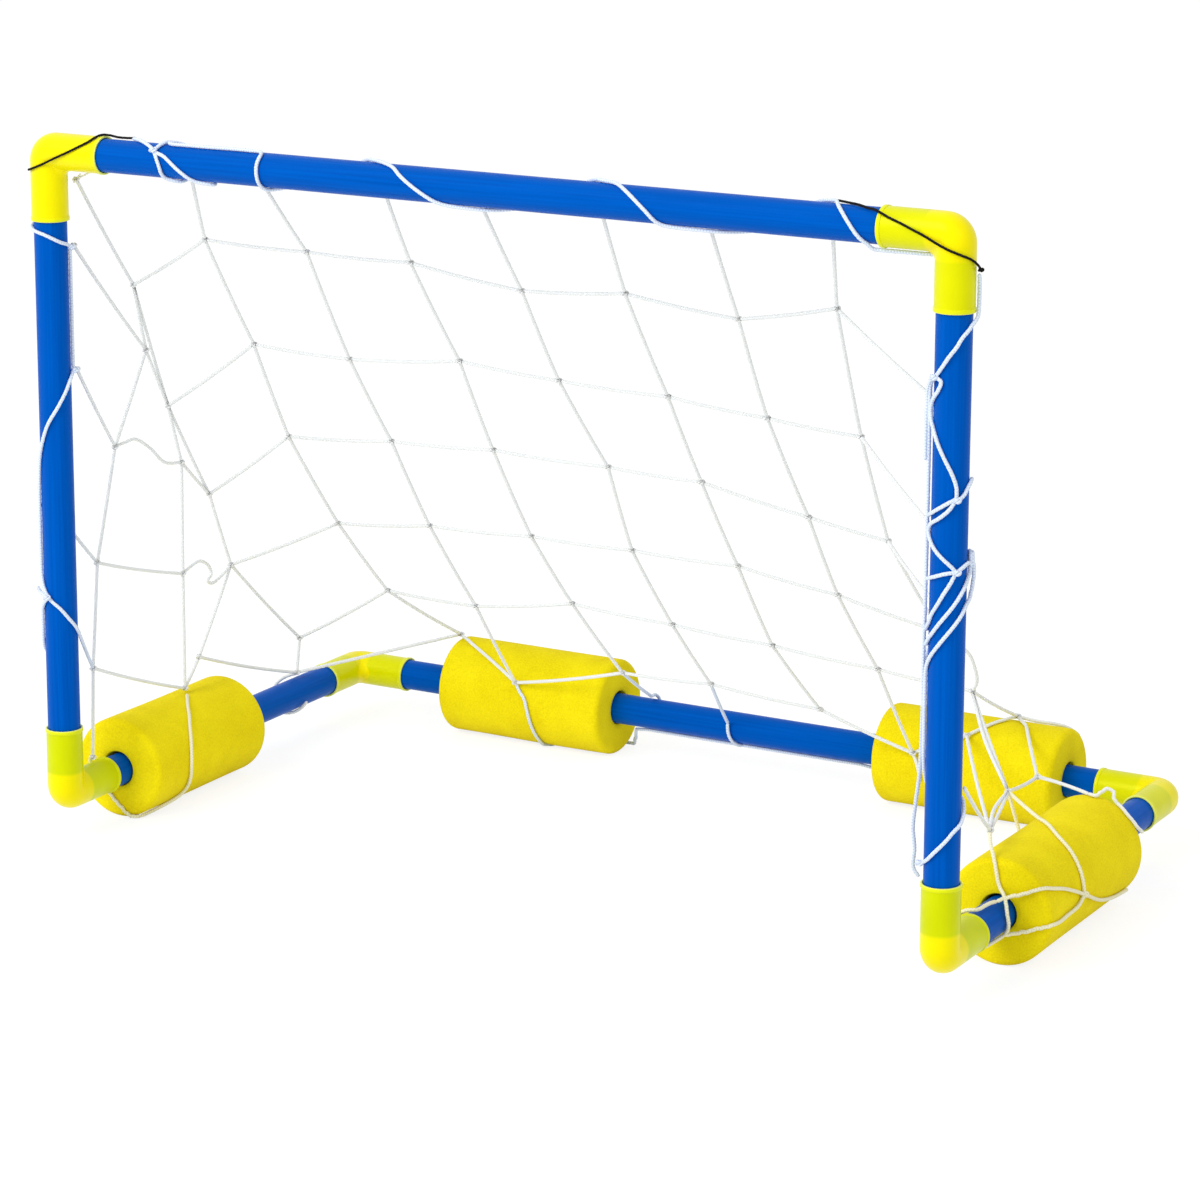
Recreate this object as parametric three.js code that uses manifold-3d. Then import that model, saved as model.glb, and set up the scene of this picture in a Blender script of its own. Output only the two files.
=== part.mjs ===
// Floating water polo goal, in millimetres, +Z up, +X to the right, +Y to the back.
// The mouth faces -Y. Blue tubes are pushed into yellow corner elbows, four foam
// floats are threaded on the base tubes, and a knotted net is laced to the frame.
import * as THREE from 'three';
import { mergeVertices } from 'three/addons/utils/BufferGeometryUtils.js';
import Module from 'manifold-3d';

const wasm = await Module();
wasm.setup();

// Frame, measured between tube axes
const POST_SPACING = 592;
const CROSSBAR_HEIGHT = 400;
const BASE_DEPTH = 332;

// Tubes
const TUBE_RADIUS = 10;
const TUBE_WALL = 1.2;
const TUBE_INSERTION = 28;

// Elbows: a short leg each way from the corner, a thin socket and a rim at each mouth
const ELBOW_LEG = 42;
const ELBOW_WALL = 0.8;
const ELBOW_BEND_RADIUS = 6;
const ELBOW_PASSAGE_RADIUS = 8.5;
const ELBOW_RIM_WIDTH = 2.5;
const ELBOW_RIM_HEIGHT = 0.5;

// Foam floats
const FLOAT_RADIUS = 32;
const FLOAT_BORE_RADIUS = 11;
const FLOAT_ROUNDING = 4;
const FLOAT_FLAT_DEPTH = 0.5;
const SIDE_FLOAT_LEFT_LENGTH = 120;
const SIDE_FLOAT_RIGHT_LENGTH = 140;
const REAR_FLOAT_LENGTH = 123;
// Distance from a corner axis to the nearer end of each float
const SIDE_FLOAT_LEFT_START = 54;
const SIDE_FLOAT_RIGHT_START = 79;
const REAR_FLOAT_LEFT_START = 84;
const REAR_FLOAT_RIGHT_START = 63;

// Where a cord gets onto a float: from a side tube, and from the rear tube
const FLOAT_ENTRY = 3;
const FLOAT_SHOULDER = 13;

// Cords
const NET_CORD_RADIUS = 0.95;
const NET_KNOT_RADIUS = 2.2;
const LACING_CORD_RADIUS = 0.95;
const LACING_KNOT_RADIUS = 2.1;
const TIE_CORD_RADIUS = 0.7;
const TIE_KNOT_RADIUS = 1.9;

// Clearances
const FIT_GAP = 0.3;
const LACING_GAP = 0.65;
const FLOAT_LACING_GAP = 0.35;
const OVERRUN = 2;
const JOIN = 0.1;

// The back net hangs from behind and below the crossbar to in front of the rear tube
const NET_TOP_BACK = 8;
const NET_TOP_DROP = 6;
const NET_FOOT_FORWARD = 28;
const NET_FOOT_RISE = 14;

// Facets
const TUBE_SIDES = 20;
const ELBOW_SIDES = 20;
const PASSAGE_SIDES = 8;
const FLOAT_SIDES = 24;
const ROUNDING_STEPS = 2;
const NET_CORD_SIDES = 4;
const CORD_SIDES = 5;
const TUBE_CORD_STEP = 7.4;
const FLOAT_CORD_STEP = 8.8;
const FREE_CORD_STEP = 8;
const PATH_STEPS = 16;

// Derived sizes
const SOCKET_RADIUS = TUBE_RADIUS + FIT_GAP;
const ELBOW_RADIUS = SOCKET_RADIUS + ELBOW_WALL;
const TUBE_INSET = ELBOW_LEG - TUBE_INSERTION;
const SOCKET_SHOULDER = TUBE_INSET - FIT_GAP;
const HALF_SPACING = POST_SPACING / 2;
const FLOAT_RISE = FLOAT_BORE_RADIUS - TUBE_RADIUS - FIT_GAP;
const FLOAT_FOOT = FLOAT_RISE - FLOAT_RADIUS + FLOAT_FLAT_DEPTH;
const TUBE_LACING_RADIUS = TUBE_RADIUS + LACING_GAP + LACING_CORD_RADIUS;
const TUBE_KNOT_RADIUS = TUBE_RADIUS + FIT_GAP + LACING_KNOT_RADIUS;
const ELBOW_LACING_RADIUS = ELBOW_RADIUS + ELBOW_RIM_HEIGHT + FIT_GAP + LACING_CORD_RADIUS;
const BASE_LACING_RADIUS = TUBE_LACING_RADIUS + FLOAT_RISE + JOIN;
const FLOAT_LACING_RADIUS = FLOAT_RADIUS + FLOAT_LACING_GAP + LACING_CORD_RADIUS;
const GOAL_FRONT = -(TUBE_LACING_RADIUS + LACING_CORD_RADIUS);
const GOAL_BACK = BASE_DEPTH + FLOAT_RADIUS;

// Colours
const BLUE = 0x0b3f9e;
const YELLOW = 0xe6dc12;
const FOAM = 0xeecb12;
const WHITE = 0xe9edf0;
const BLACK = 0x1b1b1e;

const rad = THREE.MathUtils.degToRad;
const { lerp } = THREE.MathUtils;
const vec = (x, y, z) => new THREE.Vector3(x, y, z);

function solid(geometry) {
  const bare = geometry.index ? geometry : geometry.clone();
  bare.deleteAttribute('normal');
  bare.deleteAttribute('uv');
  const merged = mergeVertices(bare);
  return new wasm.Manifold(new wasm.Mesh({
    numProp: 3,
    vertProperties: merged.attributes.position.array,
    triVerts: new Uint32Array(merged.index.array),
  }));
}

function geometryOf(body) {
  const mesh = body.getMesh();
  const geometry = new THREE.BufferGeometry();
  geometry.setAttribute('position', new THREE.BufferAttribute(mesh.vertProperties, 3));
  geometry.setIndex(new THREE.BufferAttribute(mesh.triVerts, 1));
  geometry.computeVertexNormals();
  return geometry;
}

const join = (bodies) => bodies.reduce((whole, body) => whole.add(body));

function box(x0, x1, y0, y1, z0, z1) {
  const geometry = new THREE.BoxGeometry(x1 - x0, y1 - y0, z1 - z0);
  geometry.translate((x0 + x1) / 2, (y0 + y1) / 2, (z0 + z1) / 2);
  return solid(geometry);
}

// A rod along local +X from start to end
function rodX(radius, start, end, sides) {
  const geometry = new THREE.CylinderGeometry(radius, radius, end - start, sides);
  geometry.rotateZ(-Math.PI / 2);
  geometry.translate((start + end) / 2, 0, 0);
  return solid(geometry);
}

// The same rod along local +Y
function rodY(radius, start, end, sides) {
  const geometry = new THREE.CylinderGeometry(radius, radius, end - start, sides);
  geometry.rotateY(Math.PI / 2);
  geometry.translate(0, (start + end) / 2, 0);
  return solid(geometry);
}

// A pipe round local Y, centred on its length
function pipeGeometry(outer, inner, length, sides) {
  const half = length / 2;
  const profile = [[inner, -half], [outer, -half], [outer, half], [inner, half], [inner, -half]];
  return geometryOf(solid(new THREE.LatheGeometry(
    profile.map(([r, y]) => new THREE.Vector2(r, y)), sides)));
}

// The outer quarter of a tight bend, between the planes through the bend axis.
// The bend radius is less than the tube's, so the disc is cut off at the axis.
function bendQuarter(radius) {
  const reach = Math.acos(-ELBOW_BEND_RADIUS / radius);
  const facet = 2 * Math.PI / ELBOW_SIDES;
  const angles = [-reach];
  for (let k = Math.ceil(-reach / facet); k * facet < reach; k += 1) angles.push(k * facet);
  angles.push(reach);
  const profile = angles.map((angle, i) => {
    const onAxis = i === 0 || i === angles.length - 1;
    const r = onAxis ? 0 : ELBOW_BEND_RADIUS + radius * Math.cos(angle);
    return new THREE.Vector2(r, radius * Math.sin(angle));
  });
  const geometry = new THREE.LatheGeometry(profile, ELBOW_SIDES);
  geometry.rotateX(Math.PI / 2);
  geometry.translate(ELBOW_BEND_RADIUS, ELBOW_BEND_RADIUS, 0);
  const far = ELBOW_BEND_RADIUS - radius * 2;
  const edge = ELBOW_BEND_RADIUS;
  return solid(geometry).intersect(box(far, edge, far, edge, -radius * 2, radius * 2));
}

// Corner axis at the origin, one leg along +X and one along +Y
function elbowGeometry() {
  const start = ELBOW_BEND_RADIUS - JOIN;
  const rimStart = ELBOW_LEG - ELBOW_RIM_WIDTH;
  const rimRadius = ELBOW_RADIUS + ELBOW_RIM_HEIGHT;
  const past = ELBOW_LEG + OVERRUN;
  const outer = join([
    bendQuarter(ELBOW_RADIUS),
    rodX(ELBOW_RADIUS, start, ELBOW_LEG, ELBOW_SIDES),
    rodY(ELBOW_RADIUS, start, ELBOW_LEG, ELBOW_SIDES),
    rodX(rimRadius, rimStart, ELBOW_LEG, ELBOW_SIDES),
    rodY(rimRadius, rimStart, ELBOW_LEG, ELBOW_SIDES),
  ]);
  const inner = join([
    rodX(ELBOW_PASSAGE_RADIUS, 0, SOCKET_SHOULDER + JOIN, PASSAGE_SIDES),
    rodY(ELBOW_PASSAGE_RADIUS, 0, SOCKET_SHOULDER + JOIN, PASSAGE_SIDES),
    rodX(SOCKET_RADIUS, SOCKET_SHOULDER, past, ELBOW_SIDES),
    rodY(SOCKET_RADIUS, SOCKET_SHOULDER, past, ELBOW_SIDES),
  ]);
  return geometryOf(outer.subtract(inner));
}

// A foam cylinder round local Y, with soft end edges and a bore
function floatBody(length) {
  const half = length / 2;
  const core = FLOAT_RADIUS - FLOAT_ROUNDING;
  const profile = [[FLOAT_BORE_RADIUS, -half]];
  for (let i = 0; i <= ROUNDING_STEPS; i += 1) {
    const a = (Math.PI / 2) * (i / ROUNDING_STEPS);
    profile.push([core + FLOAT_ROUNDING * Math.sin(a), -half + FLOAT_ROUNDING * (1 - Math.cos(a))]);
  }
  for (let i = ROUNDING_STEPS; i >= 0; i -= 1) {
    const a = (Math.PI / 2) * (i / ROUNDING_STEPS);
    profile.push([core + FLOAT_ROUNDING * Math.sin(a), half - FLOAT_ROUNDING * (1 - Math.cos(a))]);
  }
  profile.push([FLOAT_BORE_RADIUS, half], [FLOAT_BORE_RADIUS, -half]);
  return solid(new THREE.LatheGeometry(profile.map(([r, y]) => new THREE.Vector2(r, y)), FLOAT_SIDES));
}

// The float lies along local Y with its flat foot facing local -Z
function floatGeometry(length) {
  const reach = FLOAT_RADIUS + OVERRUN;
  const cut = -FLOAT_RADIUS + FLOAT_FLAT_DEPTH;
  return geometryOf(floatBody(length).subtract(box(-reach, reach, -length, length, -reach, cut)));
}

const goal = new THREE.Group();
goal.position.set(0, -(GOAL_FRONT + GOAL_BACK) / 2, -FLOAT_FOOT);

function addMesh(parent, name, geometry, color, roughness, position, rotation) {
  const material = new THREE.MeshStandardMaterial({ color, roughness, metalness: 0 });
  const mesh = new THREE.Mesh(geometry, material);
  mesh.name = name;
  if (position) mesh.position.copy(position);
  if (rotation) mesh.rotation.copy(rotation);
  parent.add(mesh);
  return mesh;
}

// Tubes: each runs from socket to socket
const alongX = new THREE.Euler(0, 0, -Math.PI / 2);
const alongY = new THREE.Euler(0, 0, 0);
const alongZ = new THREE.Euler(Math.PI / 2, 0, 0);
const TUBE_BORE = TUBE_RADIUS - TUBE_WALL;
const wideTube = pipeGeometry(TUBE_RADIUS, TUBE_BORE, POST_SPACING - 2 * TUBE_INSET, TUBE_SIDES);
const postTube = pipeGeometry(TUBE_RADIUS, TUBE_BORE, CROSSBAR_HEIGHT - 2 * TUBE_INSET, TUBE_SIDES);
const deepTube = pipeGeometry(TUBE_RADIUS, TUBE_BORE, BASE_DEPTH - 2 * TUBE_INSET, TUBE_SIDES);
const halfHeight = CROSSBAR_HEIGHT / 2;
const halfDepth = BASE_DEPTH / 2;
addMesh(goal, 'crossbar', wideTube, BLUE, 0.4, vec(0, 0, CROSSBAR_HEIGHT), alongX);
addMesh(goal, 'rear_tube', wideTube, BLUE, 0.4, vec(0, BASE_DEPTH, 0), alongX);
addMesh(goal, 'post_left', postTube, BLUE, 0.4, vec(-HALF_SPACING, 0, halfHeight), alongZ);
addMesh(goal, 'post_right', postTube, BLUE, 0.4, vec(HALF_SPACING, 0, halfHeight), alongZ);
addMesh(goal, 'side_tube_left', deepTube, BLUE, 0.4, vec(-HALF_SPACING, halfDepth, 0), alongY);
addMesh(goal, 'side_tube_right', deepTube, BLUE, 0.4, vec(HALF_SPACING, halfDepth, 0), alongY);

// Elbows: the local legs +X and +Y are turned to the two tubes that meet at each corner
const elbow = elbowGeometry();
const left = vec(-1, 0, 0);
const right = vec(1, 0, 0);
const front = vec(0, -1, 0);
const back = vec(0, 1, 0);
const up = vec(0, 0, 1);
const down = vec(0, 0, -1);
const corners = [
  ['elbow_top_left', vec(-HALF_SPACING, 0, CROSSBAR_HEIGHT), right, down],
  ['elbow_top_right', vec(HALF_SPACING, 0, CROSSBAR_HEIGHT), left, down],
  ['elbow_front_left', vec(-HALF_SPACING, 0, 0), up, back],
  ['elbow_front_right', vec(HALF_SPACING, 0, 0), up, back],
  ['elbow_rear_left', vec(-HALF_SPACING, BASE_DEPTH, 0), front, right],
  ['elbow_rear_right', vec(HALF_SPACING, BASE_DEPTH, 0), front, left],
];
for (const [name, corner, first, second] of corners) {
  const mesh = addMesh(goal, name, elbow, YELLOW, 0.35, corner);
  const basis = new THREE.Matrix4().makeBasis(first, second, first.clone().cross(second));
  mesh.quaternion.setFromRotationMatrix(basis);
}

// Floats: the tube lies at the bottom of each bore, and every float rests on its flat
const turnedToX = new THREE.Euler(0, 0, -Math.PI / 2);
const rearFloatLeftStart = -HALF_SPACING + REAR_FLOAT_LEFT_START;
const rearFloatRightStart = HALF_SPACING - REAR_FLOAT_RIGHT_START - REAR_FLOAT_LENGTH;
function addSideFloat(name, x, start, length) {
  addMesh(goal, name, floatGeometry(length), FOAM, 0.9, vec(x, start + length / 2, FLOAT_RISE), alongY);
}
function addRearFloat(name, start) {
  const middle = vec(start + REAR_FLOAT_LENGTH / 2, BASE_DEPTH, FLOAT_RISE);
  addMesh(goal, name, floatGeometry(REAR_FLOAT_LENGTH), FOAM, 0.9, middle, turnedToX);
}
addSideFloat('float_side_left', -HALF_SPACING, SIDE_FLOAT_LEFT_START, SIDE_FLOAT_LEFT_LENGTH);
addSideFloat('float_side_right', HALF_SPACING, SIDE_FLOAT_RIGHT_START, SIDE_FLOAT_RIGHT_LENGTH);
addRearFloat('float_rear_left', rearFloatLeftStart);
addRearFloat('float_rear_right', rearFloatRightStart);

// Places round the tubes, from a station along the tube, an angle and a distance from its axis.
// Round the crossbar and the rear tube, 0 is the front and 90 the top.
// Round a post, 0 is the front and 90 the right. Round a side tube, 0 is the right and 90 the top.
// On the base the distances run from the axis of the floats, which lies above that of the tubes.
const roundCrossbar = (s, a, r) => vec(s, -r * Math.cos(a), CROSSBAR_HEIGHT + r * Math.sin(a));
const roundRear = (s, a, r) => vec(s, BASE_DEPTH - r * Math.cos(a), FLOAT_RISE + r * Math.sin(a));
const roundPost = (x) => (s, a, r) => vec(x + r * Math.sin(a), -r * Math.cos(a), s);
const roundSide = (x) => (s, a, r) => vec(x + r * Math.cos(a), s, FLOAT_RISE + r * Math.sin(a));

// A track is a stretch of tube that cords follow. A stop on it is [share of its length, degrees,
// share of the way out], where 0 out is round its inner distance and 1 round its outer one.
const track = (place, start, end, inner, outer, usualShare, step) => (
  { place, start, end, inner, outer, usualShare, step });
const upperTrack = (place, start, end) => (
  track(place, start, end, TUBE_LACING_RADIUS, ELBOW_LACING_RADIUS, 0, TUBE_CORD_STEP));
const baseTrack = (place, start, end) => (
  track(place, start, end, BASE_LACING_RADIUS, FLOAT_LACING_RADIUS, 0, TUBE_CORD_STEP));
const floatTrack = (place, start, length) => (
  track(place, start, start + length, BASE_LACING_RADIUS, FLOAT_LACING_RADIUS, 1, FLOAT_CORD_STEP));
const crossbarTrack = upperTrack(roundCrossbar, -HALF_SPACING + ELBOW_LEG, HALF_SPACING - ELBOW_LEG);
const postLeftTrack = upperTrack(roundPost(-HALF_SPACING), ELBOW_LEG, CROSSBAR_HEIGHT - ELBOW_LEG);
const postRightTrack = upperTrack(roundPost(HALF_SPACING), ELBOW_LEG, CROSSBAR_HEIGHT - ELBOW_LEG);
const sideLeftFloat = floatTrack(roundSide(-HALF_SPACING), SIDE_FLOAT_LEFT_START, SIDE_FLOAT_LEFT_LENGTH);
const sideRightFloat = floatTrack(roundSide(HALF_SPACING), SIDE_FLOAT_RIGHT_START, SIDE_FLOAT_RIGHT_LENGTH);
const rearLeftFloat = floatTrack(roundRear, rearFloatLeftStart, REAR_FLOAT_LENGTH);
const rearRightFloat = floatTrack(roundRear, rearFloatRightStart, REAR_FLOAT_LENGTH);
const rearMiddle = baseTrack(roundRear, rearLeftFloat.end, rearRightFloat.start);
const sideLeftBack = baseTrack(roundSide(-HALF_SPACING), sideLeftFloat.end, BASE_DEPTH - ELBOW_LEG);
const sideRightFront = baseTrack(roundSide(HALF_SPACING), 0, SIDE_FLOAT_RIGHT_START);
const sideLeftFront = track(roundSide(-HALF_SPACING), 0, SIDE_FLOAT_LEFT_START,
  ELBOW_LACING_RADIUS + FLOAT_RISE, FLOAT_LACING_RADIUS, 0, TUBE_CORD_STEP);

// A point on a track, from a stop's share and degrees and a distance
const spot = ({ place, start, end }, [alongShare, degrees], distance) => (
  place(lerp(start, end, alongShare), rad(degrees), distance));

// A point off a track: the stop's third number is a share of the track's outer distance
const around = (along, stop) => spot(along, stop, along.outer * stop[2]);

// The share of a track's length at a station
const shareAt = ({ start, end }, station) => (station - start) / (end - start);

// A path that follows a route of stops smoothly along a track
class WoundPath extends THREE.Curve {
  constructor(along, route) {
    super();
    const { start, end, inner, outer, usualShare } = along;
    this.place = along.place;
    this.roll = lerp(inner, outer, usualShare);
    this.distances = route.map(([, , outShare]) => lerp(inner, outer, outShare ?? usualShare));
    this.unrolled = new THREE.CatmullRomCurve3(route.map(([alongShare, degrees], i) => (
      vec(lerp(start, end, alongShare), rad(degrees) * this.roll, this.distances[i]))));
    this.arcLengthDivisions = route.length * PATH_STEPS;
  }

  getPoint(t) {
    const last = this.distances.length - 1;
    const span = Math.min(Math.floor(t * last), last - 1);
    const ease = THREE.MathUtils.smoothstep(t * last - span, 0, 1);
    const flat = this.unrolled.getPoint(t);
    const distance = lerp(this.distances[span], this.distances[span + 1], ease);
    return this.place(flat.x, flat.y / this.roll, distance);
  }
}

function sweep(path, radius, step) {
  const steps = Math.max(2, Math.ceil(path.getLength() / step));
  const section = new THREE.Shape();
  for (let i = 0; i < CORD_SIDES; i += 1) {
    const a = (2 * Math.PI * i) / CORD_SIDES;
    const corner = [radius * Math.cos(a), radius * Math.sin(a)];
    if (i === 0) section.moveTo(...corner);
    else section.lineTo(...corner);
  }
  section.closePath();
  return solid(new THREE.ExtrudeGeometry(section, { steps, extrudePath: path, bevelEnabled: false }));
}

const wound = (along, route) => sweep(new WoundPath(along, route), LACING_CORD_RADIUS, along.step);

function free(points, radius) {
  const path = new THREE.CatmullRomCurve3(points);
  path.arcLengthDivisions = points.length * PATH_STEPS;
  return sweep(path, radius, FREE_CORD_STEP);
}

function knot(centre, radius) {
  const geometry = new THREE.OctahedronGeometry(radius, 0);
  geometry.translate(centre.x, centre.y, centre.z);
  return solid(geometry);
}
const lacingKnot = (along, stop) => knot(spot(along, stop, TUBE_KNOT_RADIUS), LACING_KNOT_RADIUS);

// A straight strand between two places, drawn in by a gap at either end
function strand(from, to, gapFrom = 0, gapTo = 0) {
  const along = to.clone().sub(from);
  const length = along.length() - gapFrom - gapTo;
  along.normalize();
  const geometry = new THREE.CylinderGeometry(NET_CORD_RADIUS, NET_CORD_RADIUS, length, NET_CORD_SIDES);
  const turn = new THREE.Quaternion().setFromUnitVectors(vec(0, 1, 0), along);
  const middle = from.clone().addScaledVector(along, gapFrom + length / 2);
  geometry.applyMatrix4(new THREE.Matrix4().compose(middle, turn, vec(1, 1, 1)));
  return solid(geometry);
}

// Straight strands through a list of places
const chain = (places) => places.slice(1).map((place, i) => strand(places[i], place));

// Net places. Panel places are [across share of the post spacing, share down the panel],
// side places [share of the depth, share of the height] and frame places shares of all three.
const panelTop = vec(0, NET_TOP_BACK, CROSSBAR_HEIGHT - NET_TOP_DROP);
const panelFoot = vec(0, BASE_DEPTH - NET_FOOT_FORWARD, NET_FOOT_RISE);
function onPanel([acrossShare, downShare]) {
  const place = panelTop.clone().lerp(panelFoot, downShare);
  place.x = POST_SPACING * acrossShare;
  return place;
}
const inFrame = ([xShare, yShare, zShare]) => (
  vec(POST_SPACING * xShare, BASE_DEPTH * yShare, CROSSBAR_HEIGHT * zShare));
const onLeftSide = ([depthShare, heightShare]) => (
  vec(-HALF_SPACING, BASE_DEPTH * depthShare, CROSSBAR_HEIGHT * heightShare));
const placesOf = (table, place) => (
  Object.fromEntries(Object.entries(table).map(([name, shares]) => [name, place(shares)])));

// Back net: six columns of knots, left to right, in rows from the crossbar down
const BACK_TOP_SHARES = [
  [-0.338, 0.009], [-0.253, 0.009], [-0.110, 0.009], [-0.003, 0.009], [0.130, 0.009], [0.243, 0.009],
];
const BACK_ROW_SHARES = [
  [[-0.364, 0.125], [-0.242, 0.129], [-0.120, 0.129], [-0.002, 0.160], [0.117, 0.145], [0.233, 0.170]],
  [[-0.373, 0.320], [-0.257, 0.328], [-0.118, 0.306], [-0.007, 0.322], [0.115, 0.328], [0.220, 0.347]],
  [[-0.393, 0.504], [-0.257, 0.486], [-0.130, 0.477], [0.005, 0.482], [0.111, 0.488], [0.221, 0.531]],
  [[-0.389, 0.681], [-0.264, 0.658], [-0.135, 0.650], [-0.013, 0.650], [0.111, 0.652], [0.218, 0.684]],
  [[-0.370, 0.820], [-0.257, 0.826], [-0.124, 0.787], [-0.005, 0.801], [0.111, 0.814], [0.230, 0.832]],
];
const BACK_FOOT_SHARES = [[-0.101, 0.930], [0.010, 0.924], [0.137, 0.943]];
// Two knots of the last row lie on the left rear float, and two knots on the right one
const REAR_LEFT_STOPS = { a6: [0.015, 85], b6: [0.496, 27] };
const REAR_RIGHT_STOPS = { f6: [0.227, 21], m: [0.511, 48], h5: [0.689, 100] };

// Left net: the edge column, from the crossbar end to the base, and the knots beside it
const LEFT_EDGE_SHARES = [[0.247, 0.765], [0.349, 0.558], [0.479, 0.393], [0.548, 0.263], [0.786, 0.093]];
const LEFT_SIDE_SHARES = {
  s1: [0.282, 0.657],
  s2: [0.178, 0.519],
  s3: [0.114, 0.345],
  s4: [0.093, 0.180],
  t2: [0.389, 0.460],
  t3: [0.386, 0.278],
  u4: [0.434, 0.130],
};
const LEFT_CORNER_SHARES = [-0.485, 0.042, 0.960];
const LEFT_POST_SHARES = [0.949, 0.709];
const LEFT_FLOAT_STOP = [0.602, 88];
const LEFT_TUBE_STOP = [0.716, 90];
const LEFT_FOOT_STOP = [0.572, 90];
// The strand from s3 reaches the post here and goes on round it to the lacing
const LEFT_WRAP_STOP = [0.449, 252];
// The lacing leaves the post here for s4
const LEFT_LEAVE_STOP = [0.188, 112];
const SLACK_UPPER_SHARES = [[0.211, 0.521], [0.241, 0.521], [0.288, 0.499], [0.334, 0.469]];
const SLACK_LOWER_SHARES = [
  [0.410, 0.2845], [0.443, 0.288], [0.473, 0.274], [0.480, 0.259], [0.467, 0.251], [0.482, 0.244],
  [0.512, 0.250],
];

// Right net: the edge column on the panel, and the loose corner of the net beside the right float
const RIGHT_TOP_SHARES = [0.370, 0.009];
const RIGHT_EDGE_SHARES = [[0.345, 0.133], [0.318, 0.361], [0.303, 0.558], [0.323, 0.731], [0.334, 0.849]];
const RIGHT_LOOSE_STOPS = {
  g6: [0.721, 135.9, 1.635],
  h6: [1.307, 158.1, 1.782],
  j: [0.078, 103.9, 1.365],
};
const RIGHT_POST_SHARES = [0.826, 0.601, 0.478];
const RIGHT_POST_LOW_SHARE = 0.149;
const SLACK_RIGHT_SHARES = [[0.344, 0.717, 0.2535], [0.3465, 0.735, 0.2315], [0.3445, 0.759, 0.201]];

const NET_ON_FLOAT = FLOAT_RADIUS + FIT_GAP + NET_KNOT_RADIUS;
const NET_ON_BASE = TUBE_RADIUS + FLOAT_RISE + NET_KNOT_RADIUS;
const NET_ON_POST = TUBE_LACING_RADIUS + LACING_CORD_RADIUS + FIT_GAP + NET_CORD_RADIUS;
const NET_ON_ELBOW = ELBOW_LACING_RADIUS + LACING_CORD_RADIUS + FIT_GAP;
const NET_KNOT_GAP = NET_KNOT_RADIUS + FIT_GAP;
const POST_BACK_DEGREES = 140;

const backTop = BACK_TOP_SHARES.map(onPanel);
const backRows = BACK_ROW_SHARES.map((row) => row.map(onPanel));
const [c6, d6, e6] = BACK_FOOT_SHARES.map(onPanel);
const { a6, b6 } = placesOf(REAR_LEFT_STOPS, (stop) => spot(rearLeftFloat, stop, NET_ON_FLOAT));
const { f6, m, h5 } = placesOf(REAR_RIGHT_STOPS, (stop) => spot(rearRightFloat, stop, NET_ON_FLOAT));
const leftEdge = LEFT_EDGE_SHARES.map(onLeftSide);
const rightEdge = RIGHT_EDGE_SHARES.map(onPanel);
const leftTubeKnot = spot(sideLeftBack, LEFT_TUBE_STOP, NET_ON_BASE);

const backNet = [];
const lastRow = [a6, b6, c6, d6, e6, f6];
const allRows = [...backRows, lastRow];
for (const row of allRows) for (const place of row) backNet.push(knot(place, NET_KNOT_RADIUS));
backTop.forEach((place, i) => backNet.push(strand(place, backRows[0][i])));
allRows.forEach((row, r) => {
  if (r > 0) row.forEach((place, i) => backNet.push(strand(allRows[r - 1][i], place)));
  if (r === allRows.length - 1) return;
  backNet.push(...chain(row));
  backNet.push(strand(row[0], leftEdge[r], 0, NET_KNOT_GAP));
  backNet.push(strand(row[row.length - 1], rightEdge[r], 0, NET_KNOT_GAP));
});
backNet.push(
  ...chain([b6, c6, d6, e6, f6]),
  strand(a6, leftTubeKnot, 0, NET_KNOT_GAP),
  wound(rearLeftFloat, [[0.015, 85, 1.05], [0.163, 66], [0.341, 45], [0.496, 27, 1.05]]),
  wound(rearRightFloat, [[0.227, 21, 1.05], [0.325, 31], [0.415, 39], [0.476, 44.5]]),
);
addMesh(goal, 'net_back', geometryOf(join(backNet)), WHITE, 0.8);

const [z1, z2, z3, z4, z5] = leftEdge;
const { s1, s2, s3, s4, t2, t3, u4 } = placesOf(LEFT_SIDE_SHARES, onLeftSide);
const t4 = spot(sideLeftFloat, LEFT_FLOAT_STOP, NET_ON_FLOAT);
const leftCorner = inFrame(LEFT_CORNER_SHARES);
const leftFoot = spot(sideLeftFront, LEFT_FOOT_STOP, NET_ON_ELBOW);
const [leftPostHigh, leftPostMiddle] = LEFT_POST_SHARES.map((share) => (
  spot(postLeftTrack, [share, POST_BACK_DEGREES], NET_ON_POST)));
const leftWrap = spot(postLeftTrack, LEFT_WRAP_STOP, TUBE_LACING_RADIUS);
const leftNet = [leftCorner, z1, z2, z3, z4, z5, s1, s2, s3, s4, t2, t3, t4, u4, leftTubeKnot]
  .map((place) => knot(place, NET_KNOT_RADIUS));
const leftChains = [
  [leftCorner, z1, z2, z3, z4, z5, leftTubeKnot, u4, t4, s4, leftFoot],
  [z1, s1, z2, t2, z3],
  [leftPostHigh, s1, s2, s3, t3, t4],
  [leftPostMiddle, s2],
  [leftWrap, s3, s4],
  [t2, t3],
  [z4, u4],
];
for (const places of leftChains) leftNet.push(...chain(places));
leftNet.push(
  free([s2, ...SLACK_UPPER_SHARES.map(onLeftSide), t2], NET_CORD_RADIUS),
  free([t3, ...SLACK_LOWER_SHARES.map(onLeftSide), z4], NET_CORD_RADIUS),
  wound(postLeftTrack, [LEFT_WRAP_STOP, [0.445, 275], [0.441, 298]]),
  wound(sideLeftBack, [
    [0.716, 90, 0.01], [0.664, 125], [0.612, 175], [0.586, 230], [0.621, 290], [0.672, 340],
  ]),
);
addMesh(goal, 'net_left', geometryOf(join(leftNet)), WHITE, 0.8);

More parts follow.
